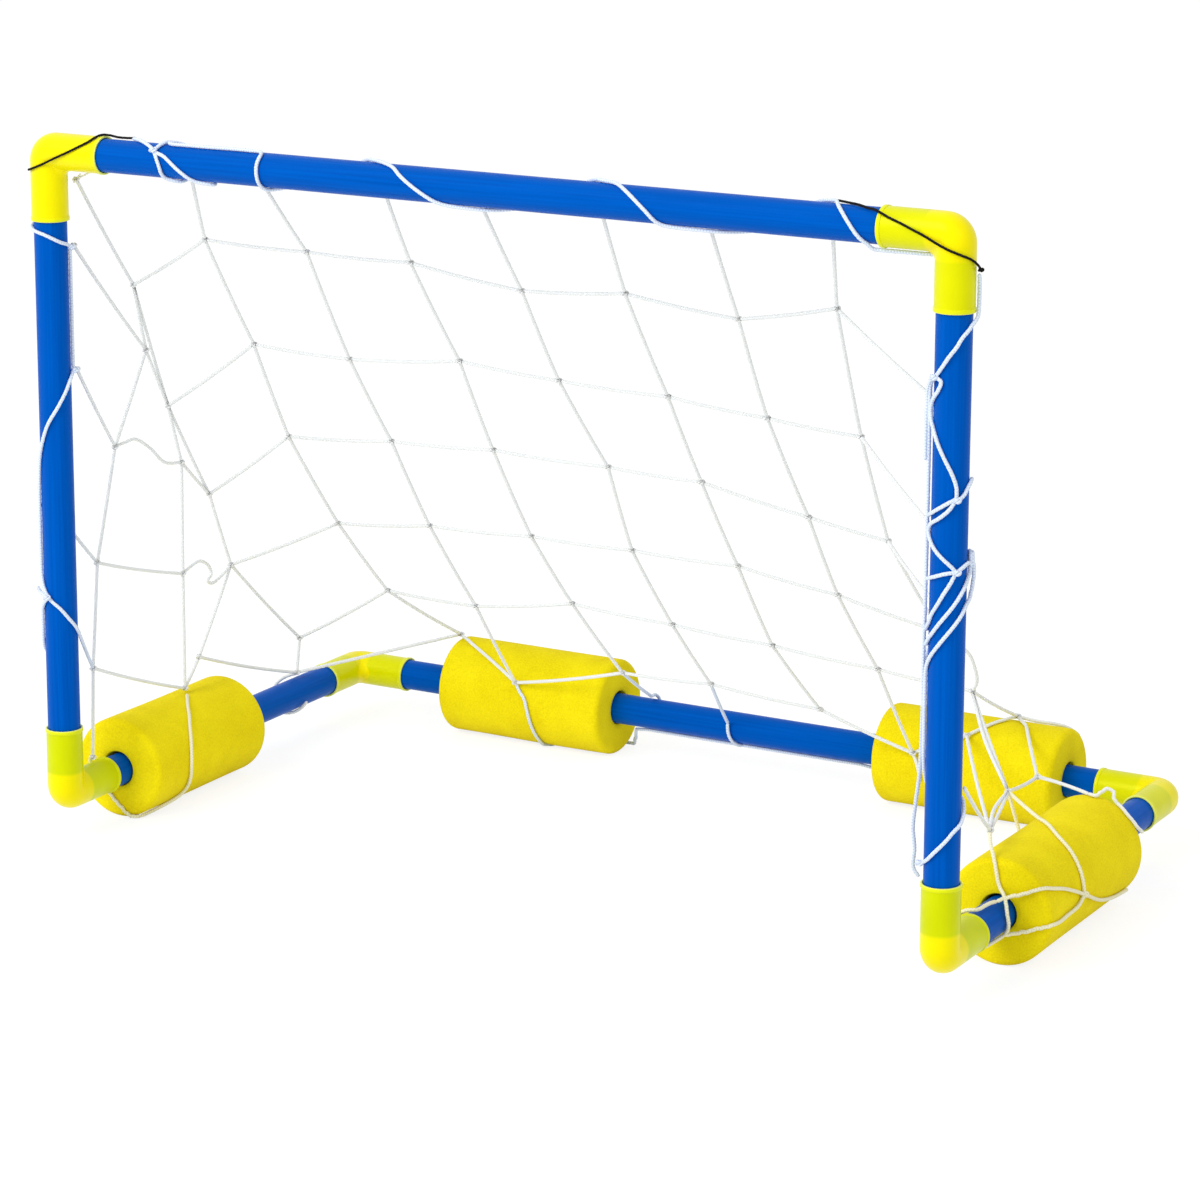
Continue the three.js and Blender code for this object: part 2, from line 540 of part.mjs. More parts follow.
const { g6, h6, j } = placesOf(RIGHT_LOOSE_STOPS, (stop) => around(sideRightFloat, stop));
const [g1, g2, g3, g4, g5] = rightEdge;
const [rightPostHigh, rightPostMiddle, rightPostNext] = RIGHT_POST_SHARES.map((share) => (
  spot(postRightTrack, [share, -POST_BACK_DEGREES], NET_ON_POST)));
const rightPostLow = spot(postRightTrack, [RIGHT_POST_LOW_SHARE, POST_BACK_DEGREES], NET_ON_POST);
const rightNet = [g1, g2, g3, g4, g5, g6, h5, h6, j, m].map((place) => knot(place, NET_KNOT_RADIUS));

// Where two strands lie side by side, the second bows out to the left between the same knots
function bowed(from, to) {
  const middle = from.clone().lerp(to, 0.5);
  middle.x -= 3 * NET_CORD_RADIUS;
  return [from, middle, to];
}
const rightChains = [
  [onPanel(RIGHT_TOP_SHARES), g1, g2, g3, g4, ...SLACK_RIGHT_SHARES.map(inFrame), g5, g6, h6],
  [g5, h5],
  [g6, j, rightPostLow],
  [m, j],
  [g1, rightPostHigh],
  [g2, rightPostMiddle],
  [g3, rightPostNext],
  [h6, spot(rearRightFloat, [0.78, 79], FLOAT_LACING_RADIUS)],
  [h6, spot(sideRightFloat, [0.957, 110], FLOAT_LACING_RADIUS)],
  bowed(g5, g6),
  bowed(g6, j),
];
for (const places of rightChains) rightNet.push(...chain(places));
rightNet.push(
  wound(rearRightFloat, [[0.511, 48, 1.05], [0.569, 63], [0.634, 82], [0.689, 100, 1.05]]),
  wound(rearRightFloat, [[0.78, 79], [0.75, 86], [0.689, 100, 1.05]]),
  wound(rearRightFloat, [[0.689, 100, 1.05], [0.813, 104], [0.911, 118], [0.967, 140]]),
  wound(sideRightFloat, [
    [0.957, 110], [0.935, 100], [0.94, 91, 1.1], [0.95, 84, 1.2], [0.962, 77, 1.16], [0.964, 69],
    [0.97, 57], [0.972, 42], [0.978, 28],
  ]),
);
addMesh(goal, 'net_right', geometryOf(join(rightNet)), WHITE, 0.8);

// Crossbar lacing: starts at a knot on the left and winds to the right elbow
const crossbarLacing = [
  wound(crossbarTrack, [
    [0.037, 100], [0.063, 67], [0.081, 38], [0.091, -4], [0.094, -50], [0.106, -80], [0.112, -130],
  ]),
  wound(crossbarTrack, [
    [0.112, -130], [0.106, -180], [0.094, -235], [0.085, -300], [0.083, -322], [0.098, -338],
    [0.12, -380], [0.136, -420], [0.154, -445], [0.13, -520], [0.106, -590], [0.094, -640],
    [0.126, -646], [0.205, -643], [0.224, -650], [0.226, -706], [0.228, -779], [0.232, -810],
    [0.264, -860], [0.303, -900], [0.343, -945], [0.368, -985], [0.402, -1023], [0.417, -1052],
    [0.445, -1097], [0.47, -1139], [0.516, -1165], [0.559, -1210], [0.598, -1260], [0.638, -1310],
    [0.663, -1350], [0.681, -1363], [0.699, -1392], [0.728, -1448], [0.746, -1500], [0.795, -1520],
    [0.844, -1560], [0.884, -1620], [0.923, -1680], [0.941, -1700], [0.953, -1741], [0.972, -1798],
    [0.986, -1849], [0.994, -1872, 1], [1.016, -1886, 1], [1.049, -1890, 1],
  ]),
  lacingKnot(crossbarTrack, [0.082, 37.5]),
];
addMesh(goal, 'lacing_crossbar', geometryOf(join(crossbarLacing)), WHITE, 0.8);

// Left post lacing: down to a knot, from there across the post to the net and down its left side
const LEFT_LOW_KNOT_STOP = [0.269, -4];
const LEFT_TAIL_STOPS = [[0.277, -29, 1.01], [0.29, -31, 1.167]];
const leftPostLacing = [
  wound(postLeftTrack, [
    [0.994, -100], [0.987, -50], [0.978, 13], [0.972, 35], [0.962, 66], [0.949, 112], [0.911, 128],
    [0.816, 130], [0.737, 130], [0.712, 122], [0.696, 95], [0.671, 70], [0.642, 42], [0.611, 12],
    [0.579, -9], [0.538, -30], [0.468, -46], [0.373, -52], [0.31, -45], LEFT_LOW_KNOT_STOP,
    [0.248, 34], [0.224, 65], [0.21, 84], LEFT_LEAVE_STOP,
  ]),
  strand(spot(postLeftTrack, LEFT_LEAVE_STOP, TUBE_LACING_RADIUS), s4, 0, NET_KNOT_GAP),
  wound(postLeftTrack, [
    LEFT_LOW_KNOT_STOP, [0.254, -28], [0.239, -44], [0.214, -52], [0.193, -56], [0.163, -72],
    [0.14, -105], [0.128, -150],
  ]),
  free([
    spot(postLeftTrack, LEFT_LOW_KNOT_STOP, TUBE_KNOT_RADIUS),
    ...LEFT_TAIL_STOPS.map((stop) => around(postLeftTrack, stop)),
  ], LACING_CORD_RADIUS),
  ...[[0.949, 112], [0.71, 121], LEFT_LOW_KNOT_STOP].map((stop) => lacingKnot(postLeftTrack, stop)),
];
addMesh(goal, 'lacing_post_left', geometryOf(join(leftPostLacing)), WHITE, 0.8);

// Right post lacing: short lengths that meet in three knots, then long turns to the foot,
// and an end that hangs down slack behind the post
const RIGHT_POST_ROUTES = [
  [[1.066, 100, 1], [1.051, 110, 1], [1.025, 112, 1], [0.997, 101, 1], [0.978, 75], [0.962, 48],
    [0.946, 32], [0.93, 13], [0.911, -7], [0.892, -30]],
  [[0.892, -30], [0.886, -10], [0.87, -19], [0.848, -48], [0.826, -64], [0.804, -38], [0.778, -15],
    [0.753, 7], [0.728, 28], [0.706, 40], [0.687, 41]],
  [[0.687, 41], [0.68, 20], [0.668, -10], [0.655, -46], [0.649, -90], [0.661, -140]],
  [[0.661, -140], [0.684, -190], [0.709, -230], [0.715, -250], [0.706, -276], [0.69, -300],
    [0.684, -319]],
  [[0.687, 41], [0.668, 22], [0.652, -6], [0.636, -45], [0.623, -58], [0.611, -42], [0.598, -21],
    [0.582, 8], [0.57, 30], [0.56, 45]],
  [[0.56, 45], [0.557, 15], [0.547, -30], [0.538, -80], [0.541, -140]],
  [[0.541, -140], [0.551, -200], [0.56, -250], [0.57, -272], [0.566, -300], [0.56, -315]],
  [[0.56, 45], [0.541, 30], [0.522, 12], [0.5, -8], [0.481, -28], [0.465, -42], [0.449, -80],
    [0.462, -140], [0.494, -200], [0.522, -245], [0.525, -278], [0.513, -307], [0.491, -335],
    [0.468, -362], [0.443, -390], [0.424, -430], [0.43, -500], [0.462, -560], [0.494, -605],
    [0.487, -645], [0.468, -674], [0.446, -701], [0.424, -726], [0.399, -757], [0.367, -780],
    [0.31, -784], [0.231, -790], [0.158, -840], [0.152, -900], [0.146, -945], [0.13, -970],
    [0.114, -994], [0.101, -1025], [0.085, -1048], [0.066, -1076], [0.047, -1105], [0.038, -1130]],
];
const RIGHT_POST_TAIL_STOPS = [
  [0.43, -139.7, 0.877], [0.411, -129.6, 1.512], [0.373, -125.4, 1.815], [0.278, -124.6, 1.852],
  [0.18, -123.5, 1.906], [0.117, -120.9, 2.05], [0.076, -119.6, 2.13], [0.038, -120.9, 2.05],
  [0.003, -120.3, 2.082], [-0.013, -124.6, 1.852],
];
const rightPostLacing = [
  ...RIGHT_POST_ROUTES.map((route) => wound(postRightTrack, route)),
  free(RIGHT_POST_TAIL_STOPS.map((stop) => around(postRightTrack, stop)), LACING_CORD_RADIUS),
  ...[[0.892, -30], [0.685, 41], [0.56, 45], [0.038, -1130]].map((stop) => (
    lacingKnot(postRightTrack, stop))),
];
addMesh(goal, 'lacing_post_right', geometryOf(join(rightPostLacing)), WHITE, 0.8);

// Rear cord: under both rear floats and along under the tube between them, where two ties
// from the foot of the net join it
const leftShoulder = rearMiddle.start + FLOAT_SHOULDER;
const rightShoulder = rearMiddle.end - FLOAT_SHOULDER;
const rearLacing = [
  wound(rearLeftFloat, [
    [0.512, 20], [0.561, 9], [0.602, -36], [0.602, -58], [0.667, -63], [0.846, -63], [1, -63],
    [1.049, -67, 0.7], [shareAt(rearLeftFloat, leftShoulder), -80, 0.08],
  ]),
  wound(rearMiddle, [
    [shareAt(rearMiddle, leftShoulder), -80, 0.08], [0.121, -85], [0.296, -85], [0.467, -85],
    [0.673, -85], [0.879, -85], [shareAt(rearMiddle, rightShoulder), -80, 0.08],
  ]),
  wound(rearRightFloat, [
    [shareAt(rearRightFloat, rightShoulder), -80, 0.08], [-0.061, -70, 0.6], [-0.033, -65, 0.97],
    [0.016, -63, 1.02], [0.244, -63], [0.488, -63], [0.8, -63], [0.97, -64],
  ]),
  strand(d6, spot(rearMiddle, [0.437, 24], BASE_LACING_RADIUS), NET_KNOT_GAP),
  wound(rearMiddle, [[0.437, 24], [0.442, -10], [0.452, -47], [0.467, -85]]),
  strand(c6, spot(rearMiddle, [0.131, 78], BASE_LACING_RADIUS), NET_KNOT_GAP),
  wound(rearMiddle, [[0.131, 78], [0.126, 110], [0.126, 160], [0.131, 220], [0.136, 275]]),
];
addMesh(goal, 'lacing_rear', geometryOf(join(rearLacing)), WHITE, 0.8);

// Left side cord: behind the front elbow, under it, then up round the float to its top
const leftEntry = sideLeftFloat.start + FLOAT_ENTRY;
const leftSideLacing = [
  wound(sideLeftFront, [
    [0.519, 95], [0.519, 135], [0.519, 180], [0.537, 225], [0.556, 268], [0.611, 300],
    [0.704, 312, 0.05], [0.796, 314, 0.23], [0.889, 309, 0.63], [0.972, 304, 0.94],
    [shareAt(sideLeftFront, leftEntry), 300, 1.04],
  ]),
  wound(sideLeftFloat, [
    [shareAt(sideLeftFloat, leftEntry), 300, 1.03], [0.1, 304, 1.01], [0.183, 312], [0.267, 322],
    [0.267, 335], [0.267, 350], [0.283, 366], [0.308, 381], [0.35, 397], [0.4, 410], [0.467, 424],
    [0.558, 439],
  ]),
];
addMesh(goal, 'lacing_side_left', geometryOf(join(leftSideLacing)), WHITE, 0.8);

// Right side cords: from the loose corner over the float to a knot on its outer side,
// from there to the tube before its near end, and a length down its inner side
const OUTER_KNOT_STOP = [0.329, 5];
const FLOAT_TOP_STOP = [0.55, 104];
const INNER_STOP = [0.736, 160];
const TUBE_FRONT_STOP = [0.835, -45];
const LOOSE_END_STOPS = [
  [1.076, 101.5, 1.257], [1.006, 96.8, 1.077], [0.968, 91.1, 0.743], [0.937, 86.7, 0.52],
  [0.892, 49.9, 0.373], [0.854, -1.4, 0.378],
];
const nearG6 = g6.clone().add(vec(NET_KNOT_RADIUS, -NET_KNOT_RADIUS, -NET_KNOT_RADIUS));
const nearJ = j.clone().add(vec(NET_CORD_RADIUS, -NET_KNOT_RADIUS, -NET_KNOT_RADIUS));
const rightSideLacing = [
  knot(nearG6, LACING_KNOT_RADIUS / 2),
  strand(nearG6, spot(sideRightFloat, FLOAT_TOP_STOP, FLOAT_LACING_RADIUS)),
  wound(sideRightFloat, [
    FLOAT_TOP_STOP, [0.479, 88], [0.4, 68], [0.364, 44], [0.343, 24], OUTER_KNOT_STOP,
  ]),
  strand(nearG6, spot(sideRightFloat, INNER_STOP, FLOAT_LACING_RADIUS)),
  wound(sideRightFloat, [INNER_STOP, [0.743, 185], [0.757, 215], [0.764, 238]]),
  knot(spot(sideRightFloat, OUTER_KNOT_STOP, FLOAT_LACING_RADIUS), LACING_KNOT_RADIUS / 2),
  wound(sideRightFloat, [OUTER_KNOT_STOP, [0.507, -14], [0.729, -29], [0.921, -37]]),
  wound(sideRightFloat, [
    OUTER_KNOT_STOP, [0.236, 0], [0.136, -4], [0.036, -6], [0.007, -7, 1.01], [-0.019, -9, 0.91],
    [-0.03, -12, 0.7], [-0.064, -24, 0.27], [-0.093, -45, 0],
  ]),
  wound(sideRightFloat, [
    OUTER_KNOT_STOP, [0.221, 10], [0.093, 16], [0.029, 19, 1.01], [-0.007, 22, 0.97], [-0.026, 27, 0.84],
    [-0.043, 36, 0.5], [-0.071, 50, 0.15], [-0.1, 62, 0],
  ]),
  wound(sideRightFront, [[0.823, 62], [0.734, 80], [0.62, 84], [0.576, 78]]),
  free([
    nearJ,
    ...LOOSE_END_STOPS.map((stop) => around(sideRightFront, stop)),
    spot(sideRightFront, TUBE_FRONT_STOP, BASE_LACING_RADIUS),
  ], LACING_CORD_RADIUS),
  wound(sideRightFront, [TUBE_FRONT_STOP, [0.81, -80], [0.785, -120], [0.772, -160]]),
];
addMesh(goal, 'lacing_side_right', geometryOf(join(rightSideLacing)), WHITE, 0.8);

// Black ties at the two top corners: places as shares of an elbow leg, from the corner axis
const LEFT_TIE_SHARES = [
  [1.381, 0, 0.276], [1.19, -0.012, 0.288], [1.024, -0.036, 0.307], [0.881, -0.119, 0.286],
  [0.738, -0.233, 0.2], [0.595, -0.286, 0.107], [0.429, -0.302, 0.024], [0.19, -0.307, -0.095],
  [0, -0.307, -0.19], [-0.143, -0.281, -0.25], [-0.25, -0.19, -0.286], [-0.307, -0.024, -0.298],
  [-0.257, 0.171, -0.31], [-0.095, 0.295, -0.321], [0.095, 0.305, -0.321], [0.262, 0.238, -0.357],
  [0.381, 0.095, -0.405],
];
const RIGHT_TIE_SHARES = [
  [-2.238, 0, 0.274], [-2, 0, 0.3], [-1.81, 0, 0.331], [-1.524, 0, 0.331], [-1.286, -0.012, 0.305],
  [-1.119, -0.036, 0.302], [-0.976, -0.131, 0.286], [-0.81, -0.257, 0.162], [-0.643, -0.3, 0.052],
  [-0.357, -0.307, -0.071], [-0.095, -0.307, -0.179], [0.071, -0.3, -0.25], [0.214, -0.233, -0.31],
  [0.307, -0.071, -0.369], [0.333, 0.036, -0.417],
];
function addTie(name, xCorner, shares) {
  const route = shares.map(([x, y, z]) => (
    vec(x, y, z).multiplyScalar(ELBOW_LEG).add(vec(xCorner, 0, CROSSBAR_HEIGHT))));
  const end = knot(route[route.length - 1], TIE_KNOT_RADIUS);
  addMesh(goal, name, geometryOf(free(route, TIE_CORD_RADIUS).add(end)), BLACK, 0.7);
}
addTie('corner_tie_left', -HALF_SPACING, LEFT_TIE_SHARES);
addTie('corner_tie_right', HALF_SPACING, RIGHT_TIE_SHARES);

const part = new THREE.Group();
part.add(goal);
export default part;
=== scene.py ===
"""Floating water polo goal, dressed for its photograph.

Places are worked out in millimetres in the goal's own frame: origin midway between the feet
of the posts at the height of the base tubes, +X right, +Y to the back, +Z up.
"""

import bmesh
import bpy
import numpy as np
from mathutils import Matrix


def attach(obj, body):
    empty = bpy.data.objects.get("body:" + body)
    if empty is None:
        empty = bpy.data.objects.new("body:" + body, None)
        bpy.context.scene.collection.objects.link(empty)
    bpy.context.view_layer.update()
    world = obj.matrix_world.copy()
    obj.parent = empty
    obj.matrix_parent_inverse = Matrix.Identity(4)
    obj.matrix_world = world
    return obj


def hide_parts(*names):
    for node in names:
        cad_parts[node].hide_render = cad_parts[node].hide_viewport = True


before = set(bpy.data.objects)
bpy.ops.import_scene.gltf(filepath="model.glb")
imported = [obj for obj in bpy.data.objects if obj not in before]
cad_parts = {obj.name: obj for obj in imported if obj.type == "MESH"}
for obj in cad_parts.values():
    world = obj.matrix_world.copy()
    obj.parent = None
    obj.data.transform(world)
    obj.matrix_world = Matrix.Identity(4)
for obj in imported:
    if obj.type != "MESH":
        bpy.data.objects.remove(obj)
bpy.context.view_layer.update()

MM = 0.001
X, Y, Z = np.eye(3)

# Frame, measured between tube axes
POST_SPACING = 592.0
CROSSBAR_HEIGHT = 400.0
BASE_DEPTH = 332.0
HALF_SPACING = POST_SPACING / 2

# Tubes and elbows
TUBE_RADIUS = 10.0
TUBE_WALL = 1.2
TUBE_INSERTION = 28.0
ELBOW_LEG = 42.0
ELBOW_WALL = 0.8
ELBOW_BEND_RADIUS = 6.0
ELBOW_PASSAGE_RADIUS = 8.5
ELBOW_RIM_WIDTH = 2.5
ELBOW_RIM_HEIGHT = 0.5
ELBOW_WEB_RADIUS = 6.0
EDGE_SOFTENING = 0.3
FIT_GAP = 0.3
SOCKET_RADIUS = TUBE_RADIUS + FIT_GAP
ELBOW_RADIUS = SOCKET_RADIUS + ELBOW_WALL
TUBE_INSET = ELBOW_LEG - TUBE_INSERTION

# Foam floats
FLOAT_RADIUS = 32.0
FLOAT_BORE_RADIUS = 11.0
FLOAT_ROUNDING = 4.0
FLOAT_FLAT_DEPTH = 0.5
FLOAT_RISE = FLOAT_BORE_RADIUS - TUBE_RADIUS - FIT_GAP
FLOAT_FOOT = FLOAT_RISE - FLOAT_RADIUS + FLOAT_FLAT_DEPTH
SIDE_FLOAT_LEFT = (54.0, 120.0)
SIDE_FLOAT_RIGHT = (79.0, 140.0)
REAR_FLOAT_LEFT = (-212.0, 123.0)
REAR_FLOAT_RIGHT = (110.0, 123.0)

# Cords, which lie on the tubes and the foam
CORD_RADIUS = 1.1
NET_KNOT_RADIUS = 2.5
LACING_KNOT_RADIUS = 2.7
TIE_CORD_RADIUS = 0.7
TIE_KNOT_RADIUS = 1.9
LACING_GAP = 0.15
FLOAT_LACING_GAP = 0.1
JOIN = 0.1
TUBE_LACING_RADIUS = TUBE_RADIUS + LACING_GAP + CORD_RADIUS
TUBE_KNOT_RADIUS = TUBE_RADIUS + LACING_KNOT_RADIUS
ELBOW_LACING_RADIUS = ELBOW_RADIUS + ELBOW_RIM_HEIGHT + LACING_GAP + CORD_RADIUS
BASE_LACING_RADIUS = TUBE_LACING_RADIUS + FLOAT_RISE + JOIN
FLOAT_LACING_RADIUS = FLOAT_RADIUS + FLOAT_LACING_GAP + CORD_RADIUS

# The goal's own frame, moved so that the floats rest on the floor with the solids' box in the middle
SOLID_CORD_REACH = 2.55
GOAL_FRONT = -(TUBE_RADIUS + SOLID_CORD_REACH)
GOAL_BACK = BASE_DEPTH + FLOAT_RADIUS
GOAL_ORIGIN = np.array([0.0, -(GOAL_FRONT + GOAL_BACK) / 2, -FLOAT_FOOT])


# Camera

def add_camera():
    """The photograph's camera: its place, and its right, down and forward directions."""
    place = (1.1299, -2.0414, 0.7669)
    right = np.array([0.87153, 0.49033, 0.00324])
    down = np.array([0.10941, -0.18803, -0.97605])
    ahead = np.array([-0.47798, 0.85101, -0.21752])
    data = bpy.data.cameras.new("photo_camera")
    data.sensor_width = 36.0
    data.lens = 117.8
    data.shift_y = -0.125
    data.clip_end = 50.0
    made = bpy.data.objects.new("photo_camera", data)
    turn = Matrix(np.stack([right, -down, -ahead], axis=1).tolist()).to_4x4()
    made.matrix_world = Matrix.Translation(place) @ turn
    bpy.context.collection.objects.link(made)
    bpy.context.scene.camera = made


add_camera()


# Surfaces

SAME_PLACE = 1e-6


class Shell:
    """Surfaces of one piece, gathered as corners, faces and pattern coordinates."""

    def __init__(self):
        self.places, self.faces, self.pattern, self.count = [], [], [], 0

    def add(self, rows, along, closed=False):
        """Joins rows of points, each closed on itself. The last row joins the first, or both are
        capped. The pattern is along[row] on one axis and once round the row on the other."""
        count, sides, _ = rows.shape
        last = count if closed else count - 1
        i, j = np.meshgrid(np.arange(last), np.arange(sides), indexing="ij")
        after, beside = (i + 1) % count, (j + 1) % sides
        i_row, after_row = i * sides, after * sides
        quads = np.stack([i_row + j, i_row + beside, after_row + beside, after_row + j], -1)
        u = np.append(along, along[0]) if closed else np.asarray(along)
        u = np.stack([u[i], u[i], u[i + 1], u[i + 1]], -1)
        v = np.stack([j, j + 1, j + 1, j], -1) / sides
        self.faces += (quads.reshape(-1, 4) + self.count).tolist()
        self.pattern.append(np.stack([u, v], -1).reshape(-1, 2))
        if not closed:
            ring = np.arange(sides)
            self.faces.append((ring[::-1] + self.count).tolist())
            self.faces.append((ring + (count - 1) * sides + self.count).tolist())
            for end in (along[0], along[-1]):
                self.pattern.append(np.stack([np.full(sides, end), ring / sides], -1))
        self.places.append(rows.reshape(-1, 3))
        self.count += count * sides

    def piece(self, part, kind, material, body="frame", merge=False):
        """The finished piece, riding on its body in place of the solid that it is named after."""
        name = f"{part}_{kind}"
        mesh = bpy.data.meshes.new(name)
        places = (np.concatenate(self.places) + GOAL_ORIGIN) * MM
        mesh.from_pydata(places.tolist(), [], self.faces)
        mesh.uv_layers.new(name="pattern").data.foreach_set("uv", np.concatenate(self.pattern).ravel())
        if merge:
            merge_doubles(mesh)
        mesh.polygons.foreach_set("use_smooth", np.ones(len(mesh.polygons), bool))
        mesh.materials.append(material)
        made = bpy.data.objects.new(name, mesh)
        bpy.context.collection.objects.link(made)
        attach(made, body)
        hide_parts(part)
        return made


def merge_doubles(mesh):
    """Joins points that lie in one place, where rows have drawn together."""
    work = bmesh.new()
    work.from_mesh(mesh)
    bmesh.ops.remove_doubles(work, verts=work.verts, dist=SAME_PLACE)
    bmesh.ops.dissolve_degenerate(work, edges=work.edges, dist=SAME_PLACE / 10)
    work.to_mesh(mesh)
    work.free()


def unit(vectors):
    """Each vector over its length."""
    return vectors / np.linalg.norm(vectors, axis=-1, keepdims=True)


def round_axis(origin, along, zero, quarter):
    """Places round an axis: at station s, angle a and distance r, the place is origin + s * along
    + r * out and its outward direction is out = cos a * zero + sin a * quarter."""
    def place(s, a, r):
        out = np.cos(a)[..., None] * zero + np.sin(a)[..., None] * quarter
        return origin + s[..., None] * along + r[..., None] * out, out
    return place


def angles(sides):
    """Angles once round, from 0."""
    return np.linspace(0, 2 * np.pi, sides, endpoint=False)


def turned(profile, origin, axis, first, sides):
    """A profile of (station, radius) turned about an axis, with its first point towards first."""
    station, radius = np.asarray(profile, float).T[..., None]
    return round_axis(origin, axis, first, np.cross(axis, first))(station, angles(sides), radius)[0]


def travelled(path):
    """Distance along a path from its start to each point."""
    steps = np.linalg.norm(np.diff(path, axis=0), axis=1)
    return np.concatenate([[0.0], np.cumsum(steps)])


def spaced(path, stations):
    """Points of a finely drawn path at given distances along it."""
    drawn = travelled(path)
    return np.stack([np.interp(stations, drawn, path[:, k]) for k in range(3)], axis=1)


# Cord routes

CURVE_STEPS = 24


def through(points):
    """A smooth curve through points: between neighbours p1 and p2 it is the cubic whose end slopes
    come from the spans to the points on either side, each span weighed by the root of its length."""
    p = np.asarray(points, float)
    p = np.concatenate([[2 * p[0] - p[1]], p, [2 * p[-1] - p[-2]]])
    span = np.sqrt(np.linalg.norm(np.diff(p, axis=0), axis=1))[:, None]
    p0, p1, p2, p3 = p[:-3], p[1:-2], p[2:-1], p[3:]
    d0, d1, d2 = span[:-2], span[1:-1], span[2:]
    leave = ((p1 - p0) / d0 - (p2 - p0) / (d0 + d1) + (p2 - p1) / d1) * d1
    reach = ((p2 - p1) / d1 - (p3 - p1) / (d1 + d2) + (p3 - p2) / d2) * d1
    t = np.linspace(0, 1, CURVE_STEPS, endpoint=False)[:, None, None]
    curve = p1 + leave * t + (3 * (p2 - p1) - 2 * leave - reach) * t**2
    curve = curve + (2 * (p1 - p2) + leave + reach) * t**3
    return np.concatenate([curve.transpose(1, 0, 2).reshape(-1, p.shape[1]), p[-2:-1]])


# Round the crossbar and the rear tube, 0 degrees is the front and 90 the top. Round a post, 0 is
# the front and 90 the right. Round a side tube, 0 is the right and 90 the top. The base cords go
# round the floats' axis, which lies a little above the tube's.
def round_post(x):
    return round_axis(x * X, Z, -Y, X)


def round_side(x):
    return round_axis(x * X + FLOAT_RISE * Z, Y, X, Z)


round_crossbar = round_axis(CROSSBAR_HEIGHT * Z, X, -Y, Z)
round_rear = round_axis(BASE_DEPTH * Y + FLOAT_RISE * Z, X, -Y, Z)


# A track is a stretch of tube: (round, start, end, inner distance, outer distance, usual share
# from the one to the other). A stop on it is [share of its length, degrees, share of the way out].
def upper_track(place, start, end):
    return place, start, end, TUBE_LACING_RADIUS, ELBOW_LACING_RADIUS, 0


def base_track(place, start, end, inner=BASE_LACING_RADIUS, usual=0):
    return place, start, end, inner, FLOAT_LACING_RADIUS, usual


def float_track(place, extent):
    return base_track(place, extent[0], sum(extent), usual=1)


CROSSBAR_TRACK = upper_track(round_crossbar, -HALF_SPACING + ELBOW_LEG, HALF_SPACING - ELBOW_LEG)
POST_LEFT_TRACK = upper_track(round_post(-HALF_SPACING), ELBOW_LEG, CROSSBAR_HEIGHT - ELBOW_LEG)
POST_RIGHT_TRACK = upper_track(round_post(HALF_SPACING), ELBOW_LEG, CROSSBAR_HEIGHT - ELBOW_LEG)
LEFT_FLOAT = float_track(round_side(-HALF_SPACING), SIDE_FLOAT_LEFT)
RIGHT_FLOAT = float_track(round_side(HALF_SPACING), SIDE_FLOAT_RIGHT)
REAR_LEFT = float_track(round_rear, REAR_FLOAT_LEFT)
REAR_RIGHT = float_track(round_rear, REAR_FLOAT_RIGHT)
REAR_MIDDLE = base_track(round_rear, REAR_LEFT[2], REAR_RIGHT[1])
LEFT_BACK = base_track(round_side(-HALF_SPACING), LEFT_FLOAT[2], BASE_DEPTH - ELBOW_LEG)
RIGHT_FRONT = base_track(round_side(HALF_SPACING), 0, RIGHT_FLOAT[1])
LEFT_FRONT = base_track(round_side(-HALF_SPACING), 0, LEFT_FLOAT[1], ELBOW_LACING_RADIUS + FLOAT_RISE)


def spot(track, stop, distance):
    """The place of a stop at a given distance from the track's axis."""
    place, start, end = track[:3]
    station = np.array(start + (end - start) * stop[0])
    return place(station, np.array(np.radians(stop[1])), np.array(distance))[0]


def around(track, stop):
    """The place of a stop whose third number is a share of the track's outer distance."""
    return spot(track, stop, track[4] * stop[2])


def wound(track, stops):
    """A path along a track. Station and angle follow a smooth curve on the unrolled tube, and the
    distance from the axis eases from stop to stop by 3 t^2 - 2 t^3."""
    place, start, end, inner, outer, usual = track
    roll = inner + (outer - inner) * usual
    share, degrees = np.array([stop[:2] for stop in stops], float).T
    outward = np.array([stop[2] if len(stop) > 2 else usual for stop in stops])
    distance = inner + (outer - inner) * outward
    flat = through(np.stack([start + (end - start) * share, np.radians(degrees) * roll, distance], 1))
    t = np.arange(len(flat)) / CURVE_STEPS
    span = np.minimum(t.astype(int), len(stops) - 2)
    ease = (t - span)**2 * (3 - 2 * (t - span))
    distance = distance[span] + (distance[span + 1] - distance[span]) * ease
    return place(flat[:, 0], flat[:, 1] / roll, distance)


def in_frame(share):
    """A place by its shares of post spacing, depth and height."""
    return np.array([POST_SPACING, BASE_DEPTH, CROSSBAR_HEIGHT]) * share


def on_left_side(share):
    """A place on the left side by its shares of depth and height."""
    return in_frame([-0.5, *share])


NET_TOP = np.array([0, 8.0, CROSSBAR_HEIGHT - 6.0])
NET_FOOT = np.array([0, BASE_DEPTH - 28.0, 14.0])


def on_panel(share):
    """A place on the back panel by its shares of post spacing across and of the panel down."""
    place = NET_TOP + (NET_FOOT - NET_TOP) * share[1]
    return place + POST_SPACING * share[0] * X


# Cord surfaces

CORD_ANGLES = angles(8)
DOME_SHARES = np.array([0.0, 0.15, 0.5])
DOME_TIP_SHARE = 0.2
BRAID_PITCH = 1.7
BRAID_DEPTH = 0.09
BRAID_STEP = 0.6


def rings(centre, out, side, reach):
    """A ring of points round each place, from the outward direction towards the side."""
    a = CORD_ANGLES[:, None]
    return centre[:, None] + reach[..., None] * (np.cos(a) * out[:, None] + np.sin(a) * side[:, None])


